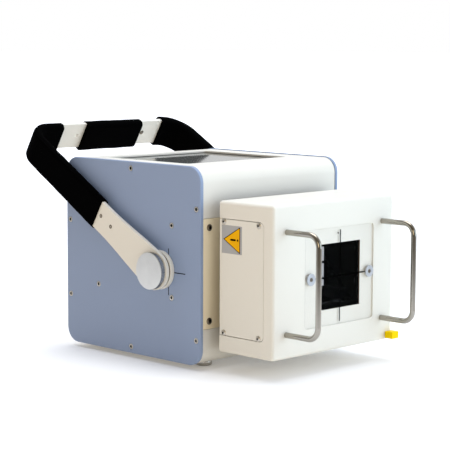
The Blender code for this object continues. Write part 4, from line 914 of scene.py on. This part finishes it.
LABEL_CENTRE = (-0.0312, 0.13)
LABEL_SIZE = (0.0274, 0.0279)
LABEL_THICKNESS = 0.00015
LABEL_CORNER = 0.0006
TRIANGLE_CORNER = 0.0008
MARK_BAR = (0.0074, 0.0019)
MARK_DOT = (0.0021, 0.0021)
MARK_CORNERS = (0.0008, 0.0010)
MARK_SHIFTS = (-0.0018, 0.0046)
TRIANGLE_RADIUS = 0.0153
TRIANGLE_BORDER = 0.0008
TRIANGLE_SHIFT = 0.0037

vinyl = moulded("grey vinyl", (0.41, 0.41, 0.42), 2000.0, 0.45, bump=0.04)
amber = moulded("amber print", (0.92, 0.47, 0.0), 2500.0, 0.45, bump=0.04, Specular_IOR_Level=0.1)
label_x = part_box("collimator_cover_left")[0].x


def label_layer(bm, layer):
    """Stands a flat print on the label, one print thickness further out for each layer."""
    out = label_x - layer * PRINT_THICKNESS
    return stand(bm, LEFT, at(0.0, *LABEL_CENTRE) + Vector((out, 0.0, 0.0)))


def triangle(radius, corner):
    """A triangle with one corner to the rear and slightly rounded corners."""
    bm = bmesh.new()
    bmesh.ops.create_circle(bm, cap_ends=True, segments=3, radius=radius)
    apex = min(bm.verts, key=lambda vert: vert.co.x)
    turn = math.pi - math.atan2(apex.co.y, apex.co.x)
    bmesh.ops.rotate(bm, cent=(0.0, 0.0, 0.0), matrix=Matrix.Rotation(turn, 3, "Z"), verts=bm.verts[:])
    bmesh.ops.bevel(bm, geom=bm.verts[:], offset=corner, offset_type="OFFSET", segments=4, profile=0.5,
                    affect="VERTICES", material=-1)
    thicken(bm, PRINT_THICKNESS)
    bmesh.ops.translate(bm, verts=bm.verts[:], vec=(TRIANGLE_SHIFT, 0.0, 0.0))
    return bm


backing = slab(*LABEL_SIZE, LABEL_THICKNESS, LABEL_CORNER)
new_piece("label_backing", label_layer(backing, 0), vinyl, "case")
border = triangle(TRIANGLE_RADIUS, TRIANGLE_CORNER)
new_piece("label_border", label_layer(border, 2), black_print, "case")
field = triangle(TRIANGLE_RADIUS - 2 * TRIANGLE_BORDER, LABEL_CORNER)
new_piece("label_triangle", label_layer(field, 3), amber, "case")
mark = bmesh.new()
for size, corner, shift in zip((MARK_BAR, MARK_DOT), MARK_CORNERS, MARK_SHIFTS):
    shape = slab(*size, PRINT_THICKNESS, corner)
    add_in(mark, move(shape, Matrix.Translation((TRIANGLE_SHIFT + shift, 0.0, 0.0))))
new_piece("label_mark", label_layer(mark, 4), black_print, "case")

# Window -------------------------------------------------------------------------------------------
# A clear acrylic panel lies flush in the housing's front over a square hole. A black cross on it
# shows the field's middle, and two aluminium washers with small screws hold it.

DISC_SCREW = (0.0019, 0.0008, 0.0007, 0.0005, 0.0002)
DISC_SINK = 0.0004
DISC_EDGE = 0.00025
LINE_WIDTH = 0.0013
LINE_TOP = 0.1372
LINE_BOTTOM = 0.0448
DOT_PLACE = (0.0035, 0.134)
DOT_RADIUS = 0.0009
CLIP_STARTS = (0.1077, 0.0907, 0.0827)
CLIP_HEIGHTS = (0.0140, 0.0145, 0.0065)
CLIP_WIDTH = 0.0100
CLIP_EDGE = 0.0002
PANEL_EDGE = 0.0002

acrylic = clear_glass("acrylic", (0.11, 0.12, 0.115), 0.03, 0.05, Alpha=0.012, IOR=1.49)
acrylic_edge = clear_glass("acrylic edge", (0.50, 0.54, 0.56), 0.15, 0.10, Alpha=0.12, IOR=1.49)
washer_metal = bare_metal("washer aluminium", (0.56, 0.58, 0.61), (0.46, 0.47, 0.50), (500.0, 500.0, 500.0),
                          0.32)

panel = slab(panel_width, panel_height, window_high.y - window_low.y, PANEL_CORNER, PANEL_EDGE)
stand(panel, FRONT, Vector((window.x, window_high.y, window.z)))
for face in panel.faces:
    face.material_index = 0 if abs(face.normal.y) > 0.9 else 1
new_piece("acrylic_panel", panel, [acrylic, acrylic_edge], "case", ["window_panel"])

lines = bmesh.new()
line_middle = at(0.0, 0.0, (LINE_TOP + LINE_BOTTOM) / 2).z
upright = slab(LINE_WIDTH, LINE_TOP - LINE_BOTTOM, PRINT_THICKNESS)
add_in(lines, stand(upright, FRONT, Vector((window.x, window_low.y, line_middle))))
disc_boxes = [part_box(name) for name in ("window_disc_left", "window_disc_right")]
reach = disc_boxes[1][0].x - disc_boxes[0][1].x
level = slab(reach, LINE_WIDTH, PRINT_THICKNESS)
add_in(lines, stand(level, FRONT, Vector((window.x, window_low.y, window.z))))
dot_place = at(DOT_PLACE[0], 0.0, DOT_PLACE[1])
dot_place.y = window_low.y
dot = ring(0.0, DOT_RADIUS, 0.0, PRINT_THICKNESS, 16)
add_in(lines, stand(dot, FRONT, dot_place))
new_piece("field_cross", lines, black_print, "case")

for (low, high), side_name in zip(disc_boxes, ("left", "right")):
    radius = (high.x - low.x) / 2
    thick = high.y - low.y
    centre = Vector(((low.x + high.x) / 2, high.y, (low.z + high.z) / 2))
    bore = DISC_SCREW[0] + GAP
    flat_disc = turned([(0.0, 0.0), (radius, 0.0), (radius, thick), (bore, thick), (bore, thick - DISC_SINK),
                     (0.0, thick - DISC_SINK)], 48, DISC_EDGE)
    stand(flat_disc, FRONT, centre)
    new_piece(f"panel_washer_{side_name}", flat_disc, washer_metal, "case",
              [f"window_disc_{side_name}"])
    head = screw(*DISC_SCREW)
    stand(head, FRONT, Vector((centre.x, low.y, centre.z)))
    new_piece(f"washer_screw_{side_name}", head, burnished_with_socket_shade, "case")

clips = bmesh.new()
for start, tall in zip(CLIP_STARTS, CLIP_HEIGHTS):
    clip_low = Vector((window.x - WINDOW_WIDTH / 2, window_high.y + GAP, at(0.0, 0.0, start).z))
    clip = block(clip_low, clip_low + Vector((CLIP_WIDTH, 2 * GAP, tall)))
    add_in(clips, round_edges(clip, CLIP_EDGE, 2))
clip_grey = moulded("grey clips", (0.36, 0.36, 0.37), 1500.0, 0.4)
new_piece("window_clips", clips, clip_grey, "case")

# Guard handles ------------------------------------------------------------------------------------
# Two 6 mm stainless rods, bent square and polished, stand out from the housing's front. They keep
# the window clear of whatever the unit is set against.

ROD_BEND = 0.012
ROD_SIDES = 32
BEND_STEPS = 12

polished = bare_metal("polished stainless", (0.41, 0.385, 0.34), (0.33, 0.30, 0.255), (400.0, 400.0, 120.0),
                      0.09, 0.08, 0.04)


def push_out(bm, end, way):
    """Draws the end faces out along a way, and returns the new end."""
    grown = bmesh.ops.extrude_face_region(bm, geom=end)
    moved = [item for item in grown["geom"] if isinstance(item, bmesh.types.BMVert)]
    bmesh.ops.translate(bm, verts=moved, vec=way)
    return [item for item in grown["geom"] if isinstance(item, bmesh.types.BMFace)]


def swing_round(bm, end, centre, angle):
    """Bends the end faces round a centre about X, and returns the new end."""
    grown = bmesh.ops.spin(bm, geom=end, cent=centre, axis=(1.0, 0.0, 0.0), angle=angle, steps=BEND_STEPS)
    return [item for item in grown["geom_last"] if isinstance(item, bmesh.types.BMFace)]


for side_name in ("left", "right"):
    low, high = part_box(f"guard_handle_{side_name}")
    radius = (high.x - low.x) / 2
    x = (low.x + high.x) / 2
    foot_low = low.z + radius
    foot_high = high.z - radius
    bend_y = low.y + radius + ROD_BEND
    bm = bmesh.new()
    bmesh.ops.create_circle(bm, cap_ends=True, segments=ROD_SIDES, radius=radius)
    stand(bm, FRONT, Vector((x, high.y, foot_low)))
    end = push_out(bm, bm.faces[:], (0.0, bend_y - high.y, 0.0))
    end = swing_round(bm, end, (x, bend_y, foot_low + ROD_BEND), -math.pi / 2)
    end = push_out(bm, end, (0.0, 0.0, foot_high - foot_low - 2 * ROD_BEND))
    end = swing_round(bm, end, (x, bend_y, foot_high - ROD_BEND), -math.pi / 2)
    push_out(bm, end, (0.0, high.y - bend_y, 0.0))
    weld(bm)
    new_piece(f"guard_rod_{side_name}", bm, polished, "case",
              [f"guard_handle_{side_name}"])

# Shutter knobs ------------------------------------------------------------------------------------
# Two fluted black knobs on the collimator's right cover open and close the pairs of blades. A white
# line on each shows where it stands.

FLUTES = 18
FLUTE_DEPTH = 0.0007
KNOB_EDGE = 0.0008
SHAFT = 0.003

for name, body in (("shutter_knob_width", "width_knob"), ("shutter_knob_height", "height_knob")):
    low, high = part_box(name)
    centre = (low + high) / 2
    radius = (high.z - low.z) / 2
    base_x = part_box("collimator_cover_right")[1].x + GAP
    tall = high.x - base_x
    shaft = base_x - low.x
    knob = turned([(0.0, -shaft), (SHAFT, -shaft), (SHAFT, 0.0), (radius, 0.0), (radius, tall), (0.0, tall)],
                  FLUTES * 6, KNOB_EDGE, 3)
    for vert in knob.verts:
        flat = vert.co.xy
        if flat.length > radius - 2 * KNOB_EDGE:
            wave = 0.5 - 0.5 * math.cos(FLUTES * math.atan2(flat.y, flat.x))
            vert.co.xy = flat * (1.0 - FLUTE_DEPTH * wave / radius)
    stand(knob, RIGHT, Vector((base_x, centre.y, centre.z)))
    new_piece(f"fluted_{name}", knob, black_plastic, body, [name])
    pointer = slab(0.0010, radius * 0.75, PRINT_THICKNESS)
    stand(pointer, RIGHT, Vector((high.x, centre.y, centre.z + radius * 0.45)))
    white_print = moulded(f"white print {body}", (0.75, 0.75, 0.72), 3000.0, 0.4)
    new_piece(f"pointer_{name}", pointer, white_print, body)

# Tape measure -------------------------------------------------------------------------------------
# The yellow tab of a pull-out tape at the housing's lower right corner, for the distance to the
# patient. The spring case and the tape's start lie inside.

TAB_EDGE = 0.0007
STRIP_SIZE = (0.005, 0.0006)
STRIP_START = 0.004

yellow = moulded("yellow plastic", (0.95, 0.67, 0.0), 1400.0, 0.45, 0.08, Specular_IOR_Level=0.05)
face_y = housing_low.y - GAP
tab = block((tape_low.x, tape_low.y, tape_low.z), (tape_high.x, face_y, tape_high.z))
round_edges(tab, TAB_EDGE, 3)
half_strip = Vector((STRIP_SIZE[0] / 2, 0.0, STRIP_SIZE[1] / 2))
strip = block(Vector((SLOT_X, tape_low.y + STRIP_START, tape_z)) - half_strip,
              Vector((SLOT_X, tape_high.y, tape_z)) + half_strip)
new_piece("tape_pull_tab", add_in(tab, strip), yellow, "tape", ["tape_tab"])

# Pivots -------------------------------------------------------------------------------------------
# On each side a stud through the plate carries a cream spacer, the handle's arm and a turned
# aluminium clamp knob with a knurled rim.

BOSS_EDGE = 0.0007
# The next two size the dark disc that is painted shade in the gap between spacer and arm.
GAP_SHADE_THICKNESS = 0.0020
GAP_SHADE_RADIUS = 0.0190
STUD_HOLE_DEPTH = 0.0035
TEETH = 72
TOOTH_DEPTH = 0.0005
RIM_EDGE = 0.0007


def make_turning_group():
    """A turned face: fine rings round an axis that runs along X through the given place."""
    group, given, place, out = effect_group("turning marks", Color="Color", Place="Vector", Rings="Float",
                                            Roughness="Float")
    centred = worked_out(group, "SUBTRACT", place, given["Place"], kind="VectorMath")
    flat = worked_out(group, "MULTIPLY", centred, (0.0, 1.0, 1.0), kind="VectorMath")
    far = worked_out(group, "LENGTH", flat, kind="VectorMath", result=1)
    ring = add_node(group, "ShaderNodeTexNoise", {"noise_dimensions": "1D"}, Scale=1.0, Detail=2.0,
                    W=worked_out(group, "MULTIPLY", far, given["Rings"])).outputs["Fac"]
    tone = scaled(group, noisy(group, place, 110.0, 3.0), 0.14, 0.93)
    toned = add_node(group, "ShaderNodeHueSaturation", Value=tone, Color=given["Color"])
    set_inputs(out, Color=toned.outputs["Color"], Roughness=scaled(group, ring, 0.16, given["Roughness"]),
               Height=ring)
    return group


TURNING = make_turning_group()
fibre_and_gap_shade = moulded("brown painted gap shade", (0.07, 0.045, 0.03), 1200.0, 0.6)
knurl_painted_shade = bare_metal("knurled aluminium painted shade", (0.60, 0.59, 0.56), (0.48, 0.47, 0.44), (900.0, 900.0, 900.0), 0.20)
for side, side_name in SIDES:
    outward = side * RIGHT
    low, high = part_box(f"pivot_boss_{side_name}")
    centre = (low + high) / 2
    radius = (high.z - low.z) / 2
    thick = high.x - low.x
    base = Vector((side * min(abs(low.x), abs(high.x)), centre.y, centre.z))
    boss = ring(STUD_BORE, radius, 0.0, thick, 72, BOSS_EDGE, 3)
    new_piece(f"spacer_{side_name}", stand(boss, outward, base), white_coat, "case",
              [f"pivot_boss_{side_name}"])
    dress(raw_steel, f"pivot_stud_{side_name}")
    # A dark brown disc just inside the spacer's rim: painted shade for the gap between the spacer and the
    # handle's arm.
    flat_disc = ring(STUD_BORE, GAP_SHADE_RADIUS, 0.0, GAP_SHADE_THICKNESS, 48, 0.0002)
    stand(flat_disc, outward, base + Vector((side * (thick + GAP_SHADE_THICKNESS / 20), 0.0, 0.0)))
    new_piece(f"painted_gap_shade_disc_{side_name}", flat_disc, fibre_and_gap_shade, "case")
    low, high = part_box(f"clamp_knob_{side_name}")
    radius = (high.z - low.z) / 2
    thick = high.x - low.x
    inner_face = side * min(abs(low.x), abs(high.x))
    knob = turned([(0.0, STUD_HOLE_DEPTH), (STUD_BORE, STUD_HOLE_DEPTH), (STUD_BORE, 0.0), (radius, 0.0),
                   (radius, thick), (0.0, thick)], 2 * TEETH, RIM_EDGE, 2)
    for vert in knob.verts:
        flat = vert.co.xy
        if flat.length > radius - RIM_EDGE / 4:
            step = round(math.atan2(flat.y, flat.x) / math.tau * 2 * TEETH)
            if step % 2:
                vert.co.xy = flat * (1.0 - TOOTH_DEPTH / radius)
    place = Vector((inner_face, centre.y, centre.z))
    # The rim's faces take material 1, a darker copy of the aluminium: painted shade on the knurl that faces
    # sideways.
    for face in knob.faces:
        if abs(face.normal.z) < 0.3 and face.calc_center_median().xy.length > radius / 2:
            face.material_index = 1
    turning = {"Color": (0.73, 0.715, 0.685, 1.0), "Place": place, "Rings": 5200.0, "Roughness": 0.30}
    turned_face = finish_from_group(f"turned aluminium {side_name}", TURNING, turning, metallic=1.0,
                                    bump=0.06, depth=0.0002)
    new_piece(f"knurled_knob_{side_name}", stand(knob, outward, place), [turned_face, knurl_painted_shade],
              f"knob_{side_name}", [f"clamp_knob_{side_name}"])

# Carrying handle ----------------------------------------------------------------------------------
# One 31 x 4 mm aluminium bar, cut with wider round ends, bent twice and powder coated cream. It is
# drawn flat, with its length along X, and then bent as the real one is.

HANDLE_LEAN = math.radians(59.3)
HANDLE_REACH = 0.244
HANDLE_BEND = 0.026
ARM_X = 0.11265
BAR_WIDTH = 0.031
BAR_THICKNESS = 0.004
BAR_EDGE = 0.0007
END_RADIUS = 0.020
TAPER = 0.085
END_STEPS = 10
BAR_STEPS = 220
BAR_HOLE = (-0.0395, 0.0026)
BAR_SCREW_X = 0.059
BAR_SCREW = (0.0026, 0.0010, 0.0005, 0.0004, 0.0005, 20)
ARM_SCREW = (0.0021, 0.0009, 0.0005, 0.0003, 0.0004, 20)
ARM_SCREWS = ((0.0935, -0.0014), (0.0755, -0.0006))

pivot = Vector((0.0, *middle_of("clamp_knob_left").yz))
handle_frame = Matrix.Translation(pivot) @ Matrix.Rotation(-HANDLE_LEAN, 4, "X")
arm_length = HANDLE_REACH - HANDLE_BEND
to_crossbar = arm_length + HANDLE_BEND * math.pi / 2
bar_length = 2 * to_crossbar + 2 * (ARM_X - HANDLE_BEND)


def bar_line(station):
    """A point of the bar's middle line and its outward way, at a length along it from the left pivot."""
    near = min(station, bar_length - station)
    if near <= arm_length:
        point, outward = Vector((-ARM_X, near)), Vector((-1.0, 0.0))
    elif near < to_crossbar:
        angle = math.pi - (near - arm_length) / HANDLE_BEND
        outward = Vector((math.cos(angle), math.sin(angle)))
        point = Vector((HANDLE_BEND - ARM_X, arm_length)) + outward * HANDLE_BEND
    else:
        point, outward = Vector((HANDLE_BEND - ARM_X + near - to_crossbar, HANDLE_REACH)), Vector((0.0, 1.0))
    if station > bar_length - station:
        point.x = -point.x
        outward.x = -outward.x
    return point, outward


def bend_round(bm):
    """Bends a shape drawn along the flat bar (length, width, outward) to the handle's shape."""
    for vert in bm.verts:
        station, sideways, out = vert.co
        point, outward = bar_line(station)
        vert.co = handle_frame @ Vector((point.x + outward.x * out, sideways, point.y + outward.y * out))
    bmesh.ops.recalc_face_normals(bm, faces=bm.faces[:])
    return bm


def bar_half_width(station):
    """Half the bar's width: a round end, then a taper down to the straight bar."""
    near = min(station, bar_length - station)
    if near < 0.0:
        return math.sqrt(max(END_RADIUS ** 2 - near ** 2, 0.0))
    share = min(near / TAPER, 1.0)
    return END_RADIUS + (BAR_WIDTH / 2 - END_RADIUS) * share * share * (3.0 - 2.0 * share)


def column_station(column):
    """Where along the bar a column of the drawn strip lies: close together round the two ends."""
    near = min(column, BAR_STEPS - column)
    if near < END_STEPS:
        station = -END_RADIUS * math.cos(math.pi / 2 * near / END_STEPS)
    else:
        station = bar_length * (near - END_STEPS) / (BAR_STEPS - 2 * END_STEPS)
    return station if column <= BAR_STEPS / 2 else bar_length - station


bar = bmesh.new()
bmesh.ops.create_grid(bar, x_segments=BAR_STEPS, y_segments=2, size=0.5)
for vert in bar.verts:
    station = column_station((vert.co.x + 0.5) * BAR_STEPS)
    vert.co = (station, 2 * vert.co.y * bar_half_width(station), -BAR_THICKNESS / 2)
bmesh.ops.remove_doubles(bar, verts=bar.verts[:], dist=WELD)
thicken(bar, BAR_THICKNESS)
round_edges(bar, BAR_EDGE, 3, 60.0)
bend_round(bar)
drilled = bmesh.new()


def on_bar(station, sideways, out):
    """A frame on the bar's outer face, with Z pointing out of it."""
    point, outward = bar_line(station)
    across = Vector((-outward.y, 0.0, outward.x)) * -1.0
    way = Vector((outward.x, 0.0, outward.y))
    turn = Matrix((across, way.cross(across), way)).transposed().to_4x4()
    place = Vector((point.x + outward.x * out, sideways, point.y + outward.y * out))
    return handle_frame @ Matrix.Translation(place) @ turn


def crossbar_station(x):
    return to_crossbar + x + ARM_X - HANDLE_BEND


crossbar_hole = (crossbar_station(BAR_HOLE[0]), BAR_HOLE[1])
for station, radius in ((0.0, STUD_BORE), (bar_length, STUD_BORE), crossbar_hole):
    add_in(drilled, move(drill(radius, 28), on_bar(station, 0.0, 0.0)))
new_piece("bent_handle_bar", cut_away(bar, drilled), white_coat, "handle", ["handle_bar"])
bar_screws = bmesh.new()
for station, sideways in [*ARM_SCREWS, *((bar_length - along, aside) for along, aside in ARM_SCREWS)]:
    head = screw(*ARM_SCREW)
    add_in(bar_screws, move(head, on_bar(station, sideways, BAR_THICKNESS / 2)))
head = screw(*BAR_SCREW)
inward = Matrix.Rotation(math.pi, 4, "Y")
add_in(bar_screws, move(head, on_bar(crossbar_station(BAR_SCREW_X), 0.0, -BAR_THICKNESS / 2) @ inward))
new_piece("handle_screws", bar_screws, burnished_with_socket_shade, "handle")

# Foam grips ---------------------------------------------------------------------------------------
# Three sleeves of closed-cell black foam are pushed over the bar: one round each bend and one on the
# crossbar. Their surface is slightly uneven, and their ends are soft.

GRIP_SIDES = (-0.0167, 0.0185)
GRIP_CORNER = 0.0050
GRIP_START = 0.099
GRIP_STEP = 0.0025
GRIP_END_EDGE = 0.0006
GRIP_WAVE = 0.00045
WAVES = Vector((90.0, 60.0, 45.0))
WAVE_SHIFT = 10.0
GRIPS = {
    "left": (GRIP_START, crossbar_station(-0.066), (-0.007, 0.0032)),
    "centre": (crossbar_station(-0.031), crossbar_station(0.051), (-0.007, 0.0052)),
    "right": (crossbar_station(0.084), bar_length - GRIP_START, (-0.0062, 0.0080)),
}


def make_foam_material():
    """Closed-cell foam: small open cells in the skin and a dull sheen."""
    material, tree, shader, place = new_material("black foam")
    cells = add_node(tree, "ShaderNodeTexVoronoi", Vector=place, Scale=1300.0)
    skin = noisy(tree, place, 260.0, 4.0)
    tint = blended(tree, skin, (0.0003, 0.0003, 0.0004, 1.0), (0.0012, 0.0012, 0.0014, 1.0))
    bumped = add_node(tree, "ShaderNodeBump", Strength=0.35, Distance=0.0004,
                      Height=worked_out(tree, "ADD", cells.outputs["Distance"], skin))
    set_inputs(shader, Base_Color=tint, Specular_IOR_Level=0.01, Roughness=scaled(tree, skin, 0.2, 0.78),
               Normal=bumped.outputs["Normal"])
    return material


def off_the_bar(vert):
    """Whether a sleeve's point lies on its outside, and not on the wall that touches the bar."""
    return abs(vert.co.x) > BAR_THICKNESS / 2 + 2 * GAP or abs(vert.co.y) > BAR_WIDTH / 2 + 2 * GAP


foam = make_foam_material()
for side_name, (start, stop, faces) in GRIPS.items():
    bm = bmesh.new()
    rounded_face(bm, faces[1] - faces[0], GRIP_SIDES[1] - GRIP_SIDES[0], GRIP_CORNER, 6)
    move(bm, Matrix.Translation((sum(faces) / 2, sum(GRIP_SIDES) / 2, 0.0)))
    inner = bmesh.new()
    rounded_face(inner, BAR_THICKNESS + 2 * GAP, BAR_WIDTH + 2 * GAP, GAP, 6)
    add_in(bm, inner)
    bmesh.ops.delete(bm, geom=bm.faces[:], context="FACES_ONLY")
    bmesh.ops.bridge_loops(bm, edges=bm.edges[:])
    length = stop - start
    steps = round(length / GRIP_STEP)
    end = bm.faces[:]
    for _ in range(steps):
        end = push_out(bm, end, (0.0, 0.0, length / steps))
    bmesh.ops.recalc_face_normals(bm, faces=bm.faces[:])
    round_edges(bm, GRIP_END_EDGE, 4, 60.0, lambda edge: all(
        off_the_bar(vert) and min(abs(vert.co.z), abs(vert.co.z - length)) < WELD for vert in edge.verts))
    for vert in bm.verts:
        out, sideways, along = vert.co
        if off_the_bar(vert):
            place = Vector((out * WAVES.x, sideways * WAVES.y, along * WAVES.z + start * WAVE_SHIFT))
            wave = GRIP_WAVE * noise.noise(place)
            out += math.copysign(wave, out)
            sideways += math.copysign(wave, sideways)
        vert.co = (along + start, sideways, out)
    grip = new_piece(f"foam_grip_{side_name}", bend_round(bm), foam, "handle",
                     [f"grip_{side_name}"])

# Feet ---------------------------------------------------------------------------------------------
# Four turned steel feet with a broad chamfer are screwed up into the base tray. They are left bare
# and carry the whole unit.

FOOT_EDGE = 0.0012

foot_steel = bare_metal("turned steel feet", (0.60, 0.58, 0.54), (0.50, 0.48, 0.45), (200.0, 200.0, 3000.0),
                        0.20)
for end_name in ("front", "rear"):
    for side_name in ("left", "right"):
        node_name = f"foot_{end_name}_{side_name}"
        low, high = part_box(node_name)
        foot = ring(0.0, (high.x - low.x) / 2, 0.0, high.z - low.z, 48, FOOT_EDGE)
        move(foot, Matrix.Translation((*middle_of(node_name).xy, low.z)))
        new_piece(f"turned_{node_name}", foot, foot_steel, "case", [node_name])
